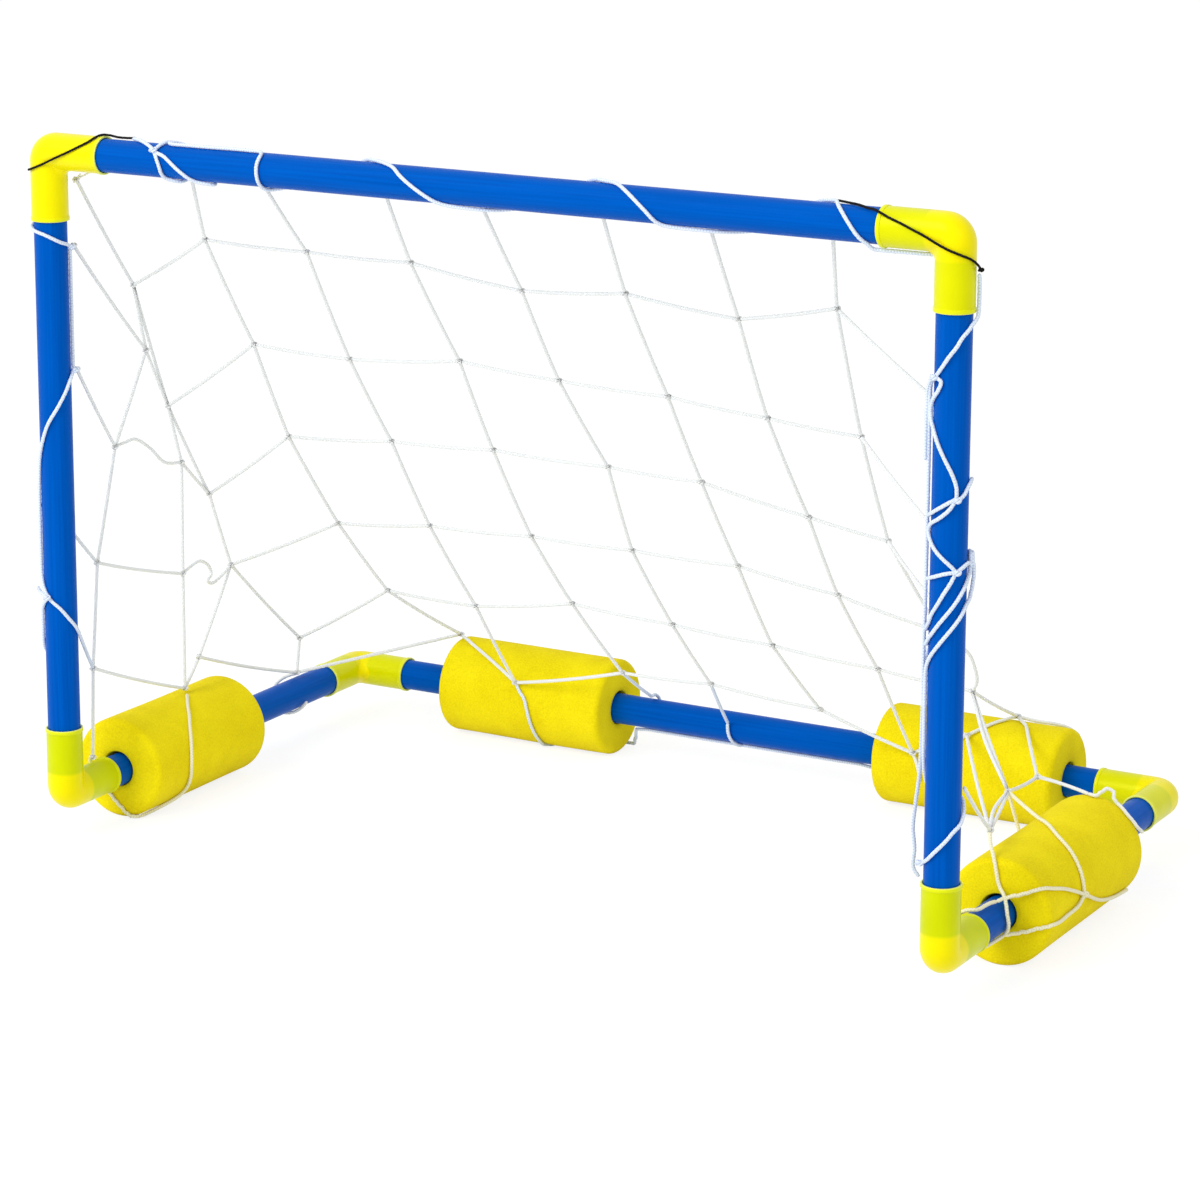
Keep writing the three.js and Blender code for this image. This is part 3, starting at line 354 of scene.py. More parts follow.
def cord(shell, path, outward, radius):
    """A braided cord along a path. Round the path the radius is R (1 + d (cos(2 pi s / p)
    + cos(3 a + 2 pi s / 2p)) / 2), with s the distance along, a the angle, p the pitch and d the
    depth of the braid, and it closes to a dome at either end."""
    drawn = travelled(path)
    length = drawn[-1]
    dome = radius * DOME_SHARES
    inside = np.linspace(radius, length - radius, max(3, int(length / BRAID_STEP)))
    s = np.concatenate([dome, inside, length - dome[::-1]])
    centre = spaced(path, s)
    ahead = unit(np.gradient(centre, axis=0))
    if outward.ndim == 2:
        outward = np.stack([np.interp(s, drawn, outward[:, k]) for k in range(3)], 1)
    side = unit(np.cross(ahead, outward))
    out = np.cross(side, ahead)
    turn = 2 * np.pi * s[:, None] / BRAID_PITCH
    relief = 1 + BRAID_DEPTH * (np.cos(turn) + np.cos(3 * CORD_ANGLES + turn / 2)) / 2
    near_end = np.minimum(s, length - s)
    rise = np.sqrt(np.clip(1 - (1 - np.minimum(near_end / radius, 1))**2, DOME_TIP_SHARE**2, 1))
    shell.add(rings(centre, out, side, radius * rise[:, None] * relief), s)


def wound_cord(shell, track, stops):
    """A cord of net or lacing, which are alike in thickness, along a track."""
    cord(shell, *wound(track, stops), CORD_RADIUS)


def free_cord(shell, points, radius=CORD_RADIUS):
    """A cord on a smooth curve through points. Its outward direction is the one that the curve's
    steps turn least towards: the last axis of their spread."""
    path = through(points)
    cord(shell, path, np.linalg.svd(np.diff(path, axis=0), full_matrices=False)[2][-1], radius)


STRAND_STEPS = 16
STRAND_SAG_SHARE = 0.012
NO_STRAND_RUNS = np.array([0.31, 0.62, 0.72])


def strand(shell, start, end, sag=STRAND_SAG_SHARE, radius=CORD_RADIUS):
    """A strand between two places that sags by a share of its length, as 4 t (1 - t)."""
    t = np.linspace(0, 1, STRAND_STEPS + 1)[:, None]
    length = np.linalg.norm(end - start)
    path = start + (end - start) * t - sag * length * Z * 4 * t * (1 - t)
    cord(shell, path, np.cross(unit(end - start), NO_STRAND_RUNS), radius)


def chain(shell, places):
    """Strands from place to place."""
    for start, end in zip(places, places[1:]):
        strand(shell, start, end)


KNOT_STEPS = 42
KNOT_TIGHTNESS = 0.85
KNOT_RISE = 1.3


def knot(shell, centre, radius=NET_KNOT_RADIUS, cord_radius=CORD_RADIUS):
    """An overhand knot drawn tight: the path ((2 + cos 3t) cos 2t, (2 + cos 3t) sin 2t, h sin 3t),
    with h its rise, scaled so that the cord round it, drawn thinner, stays within the radius."""
    t = angles(KNOT_STEPS)
    ring = 2 + np.cos(3 * t)
    path = np.stack([ring * np.cos(2 * t), ring * np.sin(2 * t), KNOT_RISE * np.sin(3 * t)], 1)
    drawn = KNOT_TIGHTNESS * cord_radius
    path = centre + path * (radius - drawn) / 3
    ahead = unit(np.roll(path, -1, axis=0) - np.roll(path, 1, axis=0))
    side = unit(np.cross(ahead, path - centre))
    reach = np.full((KNOT_STEPS, len(CORD_ANGLES)), drawn)
    shell.add(rings(path, np.cross(side, ahead), side, reach), t * radius, closed=True)


def lacing_knot(shell, track, stop, distance=TUBE_KNOT_RADIUS):
    """A knot of the lacing that lies on a tube."""
    knot(shell, spot(track, stop, distance), LACING_KNOT_RADIUS)


# Materials

def linear(colour):
    """sRGB hex to linear red, green, blue and alpha."""
    parts = np.array([colour >> 16 & 255, colour >> 8 & 255, colour & 255]) / 255
    parts = np.where(parts <= 0.04045, parts / 12.92, ((parts + 0.055) / 1.055)**2.4)
    return (*parts.tolist(), 1.0)


def node(tree, kind, links=None, **settings):
    """Adds a shader node with its settings, and returns its first output. Each link is an input's
    name or number with a value or an output."""
    made = tree.nodes.new("ShaderNode" + kind)
    for key, value in settings.items():
        setattr(made, key, value)
    for key, value in (links or {}).items():
        if isinstance(value, bpy.types.NodeSocket):
            tree.links.new(value, made.inputs[key])
        else:
            made.inputs[key].default_value = value
    return made.outputs[0] if made.outputs else made


def material(name, dress, **shader):
    """A material whose shader has these plain values, dressed with nodes by a function."""
    made = bpy.data.materials.new(name)
    made.use_nodes = True
    tree = made.node_tree
    bsdf = tree.nodes["Principled BSDF"]
    for key, value in shader.items():
        bsdf.inputs[key.replace("_", " ")].default_value = value
    dress(tree, bsdf)
    return made


def ramp(tree, amount, stops):
    """A colour ramp over (place, hex) stops."""
    made = node(tree, "ValToRGB", {0: amount}).node
    for _ in stops[2:]:
        made.color_ramp.elements.new(0.5)
    for element, (place, colour) in zip(made.color_ramp.elements, stops):
        element.position = place
        element.color = linear(colour)
    return made.outputs[0]


def noise(tree, size_mm, detail=3.0):
    """Noise on Object coordinates with features of about this size."""
    where = node(tree, "TexCoord").node.outputs["Object"]
    return node(tree, "TexNoise", {
        "Vector": where, "Scale": 1 / (size_mm * MM), "Detail": detail})


def pattern(tree):
    """The pattern coordinates: millimetres along the piece, and once round it."""
    return node(tree, "UVMap", uv_map="pattern")


def skin(tree, bsdf, colour, height, strength, depth_mm):
    """Gives the shader its colour and a relief of this depth."""
    relief = node(tree, "Bump", {
        "Height": height, "Strength": strength, "Distance": depth_mm * MM})
    tree.links.new(colour, bsdf.inputs["Base Color"])
    tree.links.new(relief, bsdf.inputs["Normal"])


def handling(tree, bsdf, marks, smooth_end, low, high):
    """Roughness between two values, by a noise that counts from one end to the other."""
    rough = node(tree, "MapRange", {0: marks, 1: smooth_end, 2: 0.7, 3: low, 4: high})
    tree.links.new(rough, bsdf.inputs["Roughness"])


DRAW_LINE_LENGTH = 90
DRAW_LINE_WIDTH = 1.6


def extruded_pvc(tree, bsdf):
    """Extruded blue PVC: satin, with faint draw lines along it and dull handling marks."""
    stretch = (1 / DRAW_LINE_LENGTH, 2 * np.pi * TUBE_RADIUS / DRAW_LINE_WIDTH, 1)
    where = node(tree, "Mapping", {0: pattern(tree), "Scale": stretch})
    lines = node(tree, "TexNoise", {"Vector": where, "Scale": 1.0, "Detail": 3.0})
    skin(tree, bsdf, ramp(tree, lines, [(0.25, 0x004DA8), (0.75, 0x0058BA)]), lines, 0.3, 0.03)
    handling(tree, bsdf, noise(tree, 9, 5.0), 0.35, 0.3, 0.42)


def moulded_yellow(socket, mouth):
    """Moulded translucent PE: glossy yellow, greener where the blue tube stands inside it, and most so
    where the wall is thin. The colours go by depth from the mouth, as a share of the leg, and a pale
    painted highlight lies on the lip of the mouth."""
    def dress(tree, bsdf):
        depth = node(tree, "SeparateXYZ", {0: pattern(tree)})
        depth = node(tree, "Math", {0: depth, 1: ELBOW_LEG}, operation="DIVIDE")
        # The pale colour at depth 0 is a painted highlight on the lip of the mouth.
        tint_and_highlight = ramp(tree, depth, [
            (0.0, 0xECF47C), (0.012, 0xE0E61E), (0.055, mouth), (0.075, socket), (0.64, socket),
            (0.69, 0xEEE400), (1.0, 0xF2E400)])
        cloud = ramp(tree, noise(tree, 18), [(0.3, 0xF8F8F8), (0.7, 0xFFFFFF)])
        mixed = node(tree, "Mix", {0: 1.0, 6: tint_and_highlight, 7: cloud}, data_type="RGBA", blend_type="MULTIPLY")
        skin(tree, bsdf, mixed.node.outputs[2], noise(tree, 6.0, 2.0), 0.06, 0.1)
        handling(tree, bsdf, noise(tree, 5, 4.0), 0.3, 0.28, 0.36)
    return dress


def cut_foam(tree, bsdf):
    """Closed-cell PE foam: matt, with a grain of cells drawn at 1.1 mm, the finest that shows."""
    grain = noise(tree, 1.1, 4.0)
    both = node(tree, "Mix", {0: 0.4, 2: grain, 3: noise(tree, 22)})
    colour = ramp(tree, both, [(0.3, 0xDEC804), (0.5, 0xECD90A), (0.7, 0xF8E612)])
    skin(tree, bsdf, colour, grain, 0.5, 0.35)


def braided(light, groove_shade, relief=0.35):
    """Braided polyester cord: its threads cross as two sets of slanting stripes, with painted shade where
    the relief dips between the threads.
    """
    def dress(tree, bsdf):
        where = node(tree, "SeparateXYZ", {0: pattern(tree)}).node.outputs
        along, across = [
            node(tree, "Math", {0: run, 1: waves * 2 * np.pi}, operation="MULTIPLY")
            for run, waves in ((where[0], 1 / BRAID_PITCH), (where[1], 2))]
        threads = []
        for way in ("ADD", "SUBTRACT"):
            slant = node(tree, "Math", {0: along, 1: across}, operation=way)
            threads.append(node(tree, "Math", {0: slant}, operation="COSINE"))
        braid = node(tree, "Math", {0: threads[0], 1: threads[1]}, operation="MAXIMUM")
        level = node(tree, "MapRange", {0: braid, 1: -0.6, 2: 1.0})
        # The colour is darker where the relief is low: painted shade in the grooves between threads.
        skin(tree, bsdf, ramp(tree, level, [(0.0, groove_shade), (0.8, light)]), level, relief, 0.12)
    return dress


TUBE = material("extruded_blue_pvc", extruded_pvc, IOR=1.53, Specular_IOR_Level=0.05,
                Specular_Tint=linear(0x1478F0))
ELBOW_THIN, ELBOW_MIDDLE, ELBOW_THICK = [
    material(f"moulded_yellow_pe_{wall}", moulded_yellow(socket, mouth), IOR=1.5,
             Specular_IOR_Level=0.4, Specular_Tint=linear(0xFFF860))
    for wall, socket, mouth in (
        ("thin", 0xCCD600, 0xD8E00A), ("middle", 0xDADC00, 0xE2E40A), ("thick", 0xEEE400, 0xECE60A))]
FOAM = material("cut_yellow_foam", cut_foam, Roughness=0.9, IOR=1.4, Specular_IOR_Level=0.08,
                Sheen_Weight=0.02, Sheen_Roughness=0.6)
NET = material("braided_net_cord", braided(0xDFE2E1, 0xD9DCDC, 0.1), Roughness=0.85,
               Specular_IOR_Level=0.1, Subsurface_Weight=0.8, Subsurface_Radius=(1, 1, 1),
               Subsurface_Scale=2 * MM)
# The lacing is one white cord. Its bluish cast on the tubes and its cream cast on the foam are painted
# reflections of light from the tube and the foam.
LACING_PAINTED_BLUE_REFLECTION = material("braided_lacing_cord_painted_blue_reflection", braided(0xDCE6F4, 0xC0CCDF), Roughness=0.75,
                  Specular_IOR_Level=0.3)
LACING_PAINTED_FOAM_REFLECTION = material("braided_cord_painted_foam_reflection", braided(0xF0ECCE, 0xDEDAB4), Roughness=0.8,
                          Specular_IOR_Level=0.2)
TIE = material("braided_black_string", braided(0x161412, 0x0A0A0A), Roughness=0.8,
               Specular_IOR_Level=0.15)


# Net

# Back net: six columns of knots, left to right, in rows from the crossbar down
TOP_SHARE = 0.009
BACK_TOP = [-0.338, -0.253, -0.11, -0.003, 0.13, 0.243]
BACK_ROWS = [
    [[-0.364, 0.125], [-0.242, 0.129], [-0.12, 0.129], [-0.002, 0.16], [0.117, 0.145], [0.233, 0.17]],
    [[-0.373, 0.32], [-0.257, 0.328], [-0.118, 0.306], [-0.007, 0.322], [0.115, 0.328], [0.22, 0.347]],
    [[-0.393, 0.504], [-0.257, 0.486], [-0.13, 0.477], [0.005, 0.482], [0.111, 0.488], [0.221, 0.531]],
    [[-0.389, 0.681], [-0.264, 0.658], [-0.135, 0.65], [-0.013, 0.65], [0.111, 0.652], [0.218, 0.684]],
    [[-0.37, 0.82], [-0.257, 0.826], [-0.124, 0.787], [-0.005, 0.801], [0.111, 0.814], [0.23, 0.832]],
]
BACK_FOOT = [[-0.101, 0.93], [0.01, 0.924], [0.137, 0.943]]
LEFT_EDGE = [[0.247, 0.765], [0.349, 0.558], [0.479, 0.393], [0.548, 0.263], [0.786, 0.093]]
LEFT_CORNER = [-0.484, 0.042, 0.954]
CORNER_ENDS = [[-0.448, 0.004, 0.9735], [-0.482, 0.03, 0.95], [-0.471, 0.024, 0.965]]
CORNER_END_RADIUS = 0.6
LEFT_POST = [0.949, 0.709]
LEFT_WRAP = [0.449, 252]
LEFT_LEAVE = [0.188, 112]
SLACK_UPPER = [[0.211, 0.521], [0.241, 0.521], [0.288, 0.499], [0.334, 0.469]]
SLACK_LOWER = [[0.41, 0.2845], [0.443, 0.288], [0.473, 0.274], [0.48, 0.259], [0.467, 0.251],
               [0.482, 0.244], [0.512, 0.25]]
RIGHT_EDGE = [[0.345, 0.133], [0.318, 0.361], [0.303, 0.558], [0.323, 0.731], [0.334, 0.849]]
RIGHT_POST = [0.826, 0.601, 0.478]
SLACK_RIGHT = [[0.344, 0.717, 0.2535], [0.3465, 0.735, 0.2315], [0.3445, 0.759, 0.201]]

NET_ON_FLOAT = FLOAT_RADIUS + FIT_GAP + NET_KNOT_RADIUS
NET_ON_BASE = TUBE_RADIUS + FLOAT_RISE + NET_KNOT_RADIUS
NET_ON_POST = TUBE_LACING_RADIUS + CORD_RADIUS + FIT_GAP + CORD_RADIUS
NET_ON_ELBOW = ELBOW_LACING_RADIUS + CORD_RADIUS + FIT_GAP
POST_BACK = 140

# Knots of the lowest row that lie on the rear floats, left to right, a little above the foam
A6, B6 = [0.015, 85, 1.05], [0.496, 27, 1.05]
F6, MIDDLE, H5 = [0.248, 20, 1.05], [0.511, 48, 1.05], [0.689, 100, 1.05]

back_top = [on_panel([across, TOP_SHARE]) for across in BACK_TOP]
back_rows = [[on_panel(share) for share in row] for row in BACK_ROWS]
c6, d6, e6 = [on_panel(share) for share in BACK_FOOT]
a6, b6 = [spot(REAR_LEFT, stop, NET_ON_FLOAT) for stop in (A6, B6)]
f6, m, h5 = [spot(REAR_RIGHT, stop, NET_ON_FLOAT) for stop in (F6, MIDDLE, H5)]
left_edge = [on_left_side(share) for share in LEFT_EDGE]
right_edge = [on_panel(share) for share in RIGHT_EDGE]
left_tube_knot = spot(LEFT_BACK, [0.716, 90], NET_ON_BASE)
s4 = on_left_side([0.093, 0.18])


def net_back():
    """The back panel: rows of knots, joined across and down."""
    shell = Shell()
    rows = [*back_rows, [a6, b6, c6, d6, e6, f6]]
    for place in [*back_top, *sum(rows, [])]:
        knot(shell, place)
    for column, top in enumerate(back_top):
        chain(shell, [top, *(row[column] for row in rows)])
    for row, left, right in zip(back_rows, left_edge, right_edge):
        chain(shell, [left, *row, right])
    chain(shell, [b6, c6, d6, e6, f6])
    strand(shell, a6, left_tube_knot, 0)
    wound_cord(shell, REAR_LEFT, [A6, [0.163, 66], [0.341, 45], B6])
    for stops in ([[0.325, 30], [0.415, 39], MIDDLE], [[0.268, 11], [0.285, 1], [0.292, -9]]):
        wound_cord(shell, REAR_RIGHT, [F6, *stops])
    shell.piece("net_back", "cords", NET)


def net_left():
    """The left side: the edge column, the knots beside it and the strands to the post."""
    shell = Shell()
    z1, z2, z3, z4, _ = left_edge
    s1, s2, s3, t2, t3, u4 = [on_left_side(share) for share in (
        [0.282, 0.657], [0.178, 0.519], [0.114, 0.345], [0.389, 0.46], [0.386, 0.278], [0.434, 0.13])]
    t4 = spot(LEFT_FLOAT, [0.602, 88], NET_ON_FLOAT)
    corner = in_frame(LEFT_CORNER)
    foot = spot(LEFT_FRONT, [0.519, 90], NET_ON_ELBOW)
    post = [spot(POST_LEFT_TRACK, [share, POST_BACK], NET_ON_POST) for share in LEFT_POST]
    wrap = spot(POST_LEFT_TRACK, LEFT_WRAP, TUBE_LACING_RADIUS)
    for place in (corner, *left_edge, s1, s2, s3, s4, t2, t3, t4, u4, left_tube_knot, foot, *post):
        knot(shell, place)
    for places in (
            [corner, *left_edge, left_tube_knot, u4, t4, s4, foot], [z1, s1, z2, t2, z3],
            [post[0], s1, s2, s3, t3, t4], [post[1], s2], [wrap, s3, s4], [t2, t3], [z4, u4]):
        chain(shell, places)
    free_cord(shell, [s2, *map(on_left_side, SLACK_UPPER), t2])
    free_cord(shell, [t3, *map(on_left_side, SLACK_LOWER), z4])
    wound_cord(shell, LEFT_BACK, [[0.716, 90, 0.01], [0.664, 125], [0.612, 175], [0.586, 230],
                                  [0.621, 290], [0.672, 340]])
    wound_cord(shell, POST_LEFT_TRACK, [LEFT_WRAP, [0.445, 275], [0.441, 302]])
    for end in CORNER_ENDS:
        strand(shell, corner, in_frame(end), 0, CORNER_END_RADIUS)
    shell.piece("net_left", "cords", NET)


g6, h6, j6 = [around(RIGHT_FLOAT, stop) for stop in (
    [0.721, 135.9, 1.635], [1.307, 158.1, 1.782], [0.078, 103.9, 1.365])]
H6_REAR = [0.78, 79]
H6_SIDE = [0.955, 93]


def net_right():
    """The right edge of the panel, and its loose corner beside the right float."""
    shell = Shell()
    g1, g2, g3, g4, g5 = right_edge
    top = on_panel([0.37, TOP_SHARE])
    post = [spot(POST_RIGHT_TRACK, [share, -POST_BACK], NET_ON_POST) for share in RIGHT_POST]
    low = spot(POST_RIGHT_TRACK, [0.164, 150], NET_ON_POST)
    for place in (top, *right_edge, g6, h5, h6, j6, m, *post):
        knot(shell, place)
    beside = -3 * CORD_RADIUS * X
    for places in (
            [top, g1, g2, g3, g4], [g5, g6, h6], [g5, h5], [g6, j6, low], [m, j6],
            [g1, post[0]], [g2, post[1]], [g3, post[2]],
            [h6, spot(REAR_RIGHT, H6_REAR, FLOAT_LACING_RADIUS)]):
        chain(shell, places)
    strand(shell, h6, spot(RIGHT_FLOAT, H6_SIDE, FLOAT_LACING_RADIUS), -0.01)
    free_cord(shell, [g4, *map(in_frame, SLACK_RIGHT), g5])
    for start, end in ((g5, g6), (g6, j6)):
        free_cord(shell, [start, (start + end) / 2 + beside, end])
    for stops in ([MIDDLE, [0.569, 63], [0.634, 82], H5], [H6_REAR, [0.75, 86], H5],
                  [H5, [0.813, 104], [0.911, 118], [0.967, 140]]):
        wound_cord(shell, REAR_RIGHT, stops)
    wound_cord(shell, RIGHT_FLOAT, [
        H6_SIDE, [0.947, 84], [0.965, 80, 1.12], [0.985, 77, 1.22], [0.99, 71, 1.2], [0.975, 67, 1.06],
        [0.975, 62], [0.97, 55], [0.963, 46], [0.97, 36], [0.976, 30], [0.993, 25], [1.006, 22]])
    shell.piece("net_right", "cords", NET)


net_back()
net_left()
net_right()


# Lacing

def lacing_crossbar():
    """Starts at a knot on the left and winds to the right elbow."""
    shell = Shell()
    wound_cord(shell, CROSSBAR_TRACK, [
        [0.037, 100], [0.063, 67], [0.081, 38], [0.091, -4], [0.094, -50], [0.106, -80], [0.112, -130]])
    wound_cord(shell, CROSSBAR_TRACK, [
        [0.112, -130], [0.106, -180], [0.094, -235], [0.085, -300], [0.083, -322], [0.098, -338],
        [0.12, -380], [0.136, -420], [0.154, -445], [0.13, -520], [0.106, -590], [0.094, -640],
        [0.126, -646], [0.205, -643], [0.224, -650], [0.226, -706], [0.228, -779], [0.232, -810],
        [0.264, -860], [0.303, -900], [0.343, -945], [0.368, -985], [0.402, -1023], [0.417, -1052],
        [0.445, -1097], [0.47, -1139], [0.516, -1165], [0.559, -1210], [0.598, -1260], [0.638, -1310],
        [0.663, -1350], [0.681, -1363], [0.699, -1392], [0.728, -1448], [0.746, -1500], [0.795, -1520],
        [0.844, -1560], [0.884, -1620], [0.923, -1680], [0.941, -1700], [0.953, -1741], [0.972, -1798],
        [0.986, -1849], [0.994, -1872, 1], [1.016, -1886, 1], [1.046, -1890, 1], [1.06, -1894, 1]])
    lacing_knot(shell, CROSSBAR_TRACK, [0.082, 37.5])
    shell.piece("lacing_crossbar", "cord", LACING_PAINTED_BLUE_REFLECTION)


LOW_KNOT = [0.269, -4]


def lacing_post_left():
    """Down the left post in wide turns to a low knot, from there across the post to the net and
    down its left side."""
    shell = Shell()
    wound_cord(shell, POST_LEFT_TRACK, [
        [0.994, -100], [0.987, -50], [0.978, 13], [0.972, 35], [0.962, 66], [0.949, 112], [0.911, 128],
        [0.816, 130], [0.737, 130], [0.712, 122], [0.696, 95], [0.671, 70], [0.642, 42], [0.611, 12],
        [0.579, -9], [0.538, -30], [0.468, -46], [0.373, -52], [0.31, -45], LOW_KNOT,
        [0.248, 34], [0.224, 65], [0.21, 84], LEFT_LEAVE])
    strand(shell, spot(POST_LEFT_TRACK, LEFT_LEAVE, TUBE_LACING_RADIUS), s4)
    wound_cord(shell, POST_LEFT_TRACK, [
        LOW_KNOT, [0.254, -28], [0.239, -44], [0.214, -52], [0.193, -56], [0.163, -72], [0.14, -105],
        [0.128, -150]])
    free_cord(shell, [spot(POST_LEFT_TRACK, LOW_KNOT, TUBE_KNOT_RADIUS), *(
        around(POST_LEFT_TRACK, stop) for stop in ([0.277, -29, 1.01], [0.29, -31, 1.167]))])
    for stop in ([0.949, 112], [0.71, 121], LOW_KNOT):
        lacing_knot(shell, POST_LEFT_TRACK, stop)
    shell.piece("lacing_post_left", "cord", LACING_PAINTED_BLUE_REFLECTION)


TOP_KNOT, UPPER_KNOT = [0.892, -30], [0.687, 41]
MIDDLE_KNOT, FOOT_KNOT = [0.56, 45], [0.038, -1130]
RIGHT_POST_ROUTES = [
    [[1.066, 100, 1], [1.051, 110, 1], [1.025, 112, 1], [0.997, 101, 1], [0.978, 75], [0.962, 48],
     [0.946, 32], [0.93, 13], [0.911, -7], TOP_KNOT],
    [TOP_KNOT, [0.886, -10], [0.87, -19], [0.848, -48], [0.826, -64], [0.804, -38], [0.778, -15],
     [0.753, 7], [0.728, 28], [0.706, 40], UPPER_KNOT],
    [UPPER_KNOT, [0.68, 20], [0.668, -10], [0.655, -46], [0.649, -90], [0.661, -140]],
    [[0.661, -140], [0.684, -190], [0.709, -230], [0.715, -250], [0.706, -276], [0.69, -300],
     [0.684, -319]],
    [UPPER_KNOT, [0.668, 22], [0.652, -6], [0.636, -45], [0.623, -58], [0.611, -42], [0.598, -21],
     [0.582, 8], [0.57, 30], MIDDLE_KNOT],
    [MIDDLE_KNOT, [0.557, 15], [0.547, -30], [0.538, -80], [0.541, -140]],
    [[0.541, -140], [0.556, -200], [0.568, -245], [0.572, -270], [0.568, -290], [0.56, -313]],
    [MIDDLE_KNOT, [0.541, 30], [0.522, 12], [0.5, -8], [0.481, -28], [0.465, -42], [0.449, -80],
     [0.46, -135], [0.515, -180], [0.569, -212], [0.588, -232, 0.1], [0.583, -246, 0.2],
     [0.569, -249, 0.35], [0.556, -255, 0.2], [0.546, -267], [0.523, -295], [0.499, -323], [0.472, -356],
     [0.444, -391], [0.424, -430], [0.435, -495], [0.485, -538], [0.545, -570], [0.583, -591, 0.5],
     [0.587, -600, 0.8], [0.574, -606, 1], [0.56, -606, 1.45], [0.548, -606, 1.45], [0.53, -607, 1.05],
     [0.513, -613, 0.45], [0.499, -635], [0.476, -665], [0.45, -698], [0.42, -734], [0.404, -753],
     [0.388, -769], [0.367, -780], [0.31, -784], [0.231, -790], [0.158, -840], [0.152, -900],
     [0.146, -945], [0.13, -970], [0.114, -994], [0.101, -1025], [0.085, -1048], [0.066, -1076],
     [0.047, -1105], FOOT_KNOT],
    [TOP_KNOT, [0.884, -48, 0.2], [0.868, -62, 0.4], [0.8, -70, 0.45], [0.7, -71, 0.45],
     [0.6, -71, 0.5], [0.5, -71, 0.6], [0.42, -73, 0.8], [0.36, -76, 0.8], [0.31, -78, 0.6]],
    [TOP_KNOT, [0.882, -52, 0.8], [0.862, -66, 1.3], [0.82, -70, 1.55], [0.78, -70, 1.55],
     [0.744, -70, 1.5]],
]
RIGHT_POST_TAIL = [
    [0.43, -139.7, 0.877], [0.411, -129.6, 1.512], [0.373, -125.4, 1.815], [0.278, -124.6, 1.852],
    [0.18, -123.5, 1.906], [0.117, -120.9, 2.05], [0.076, -119.6, 2.13], [0.038, -120.9, 2.05],
    [0.003, -120.3, 2.082], [-0.013, -124.6, 1.852],
]


def lacing_post_right():
    """Short lengths that meet in three knots, long turns to the foot, a straight length down the
    inner side with a cut end beside it, and a slack end."""
    shell = Shell()
    for route in RIGHT_POST_ROUTES:
        wound_cord(shell, POST_RIGHT_TRACK, route)
    free_cord(shell, [around(POST_RIGHT_TRACK, stop) for stop in RIGHT_POST_TAIL])
    for stop in (TOP_KNOT, [0.685, 41], MIDDLE_KNOT, FOOT_KNOT):
        lacing_knot(shell, POST_RIGHT_TRACK, stop)
    shell.piece("lacing_post_right", "cord", LACING_PAINTED_BLUE_REFLECTION)


def lacing_rear():
    """From a net knot down the front of the left rear float, under it, along under the tube and
    under the right rear float. Two ties from the foot of the net join it."""
    shell = Shell()
    wound_cord(shell, REAR_LEFT, [
        B6, [0.525, 18], [0.561, 9], [0.602, -36], [0.606, -58], [0.614, -70, 0.94],
        [0.66, -84, 0.85], [0.73, -97, 0.85], [0.8, -112, 0.97], [0.98, -119], [1.02, -118, 0.97],
        [1.055, -114, 0.62], [1.106, -95, 0.06]])
    wound_cord(shell, REAR_MIDDLE, [
        [0.065, -95, 0.06], [0.121, -88], [0.296, -85], [0.467, -85], [0.673, -85], [0.879, -88],
        [0.935, -95, 0.06]])
    wound_cord(shell, REAR_RIGHT, [
        [-0.106, -95, 0.06], [-0.055, -114, 0.62], [-0.02, -118, 0.97], [0.02, -119], [0.244, -117],
        [0.488, -116], [0.8, -117], [0.97, -118]])
    for start, stops in (
            (d6, [[0.437, 24], [0.442, -10], [0.452, -47], [0.467, -85]]),
            (c6, [[0.131, 78], [0.126, 110], [0.126, 160], [0.131, 220], [0.136, 275]])):
        strand(shell, start, spot(REAR_MIDDLE, stops[0], BASE_LACING_RADIUS))
        wound_cord(shell, REAR_MIDDLE, stops)
    shell.piece("lacing_rear", "cord", LACING_PAINTED_BLUE_REFLECTION)


def lacing_side_left():
    """Behind the front elbow, under it, then up round the float to its top."""
    shell = Shell()
    wound_cord(shell, LEFT_FRONT, [
        [0.525, 94], [0.6, 110], [0.69, 128], [0.76, 150], [0.85, 185], [0.92, 218], [0.965, 242, 0.12],
        [0.977, 254, 0.24], [0.979, 265, 0.38], [0.979, 275, 0.54], [0.979, 283, 0.76], [0.988, 289, 0.9],
        [1.015, 293, 0.955], [1.056, 296, 1]])
    wound_cord(shell, LEFT_FLOAT, [
        [0.025, 296], [0.08, 299], [0.14, 305], [0.21, 311], [0.265, 318], [0.285, 328], [0.283, 341],
        [0.275, 353], [0.278, 366], [0.3, 381], [0.345, 397], [0.4, 410], [0.467, 424], [0.558, 439]])
    shell.piece("lacing_side_left", "cord", LACING_PAINTED_FOAM_REFLECTION)


OUTER_KNOT = [0.329, 5]
FLOAT_TOP = [0.55, 104]
INNER = [0.736, 160]
TUBE_FRONT = [0.875, -48]
LOOSE_END = [
    [1.089, 103, 1.18], [1.051, 100.6, 1.115], [1.013, 97.6, 1.017], [0.99, 95, 0.911],
    [0.982, 92.6, 0.742], [0.98, 89.4, 0.569], [0.972, 83, 0.47], [0.93, 68, 0.434], [0.875, 47, 0.395],
    [0.835, 25, 0.37], [0.835, -3, 0.367], [0.85, -24, 0.367],
]


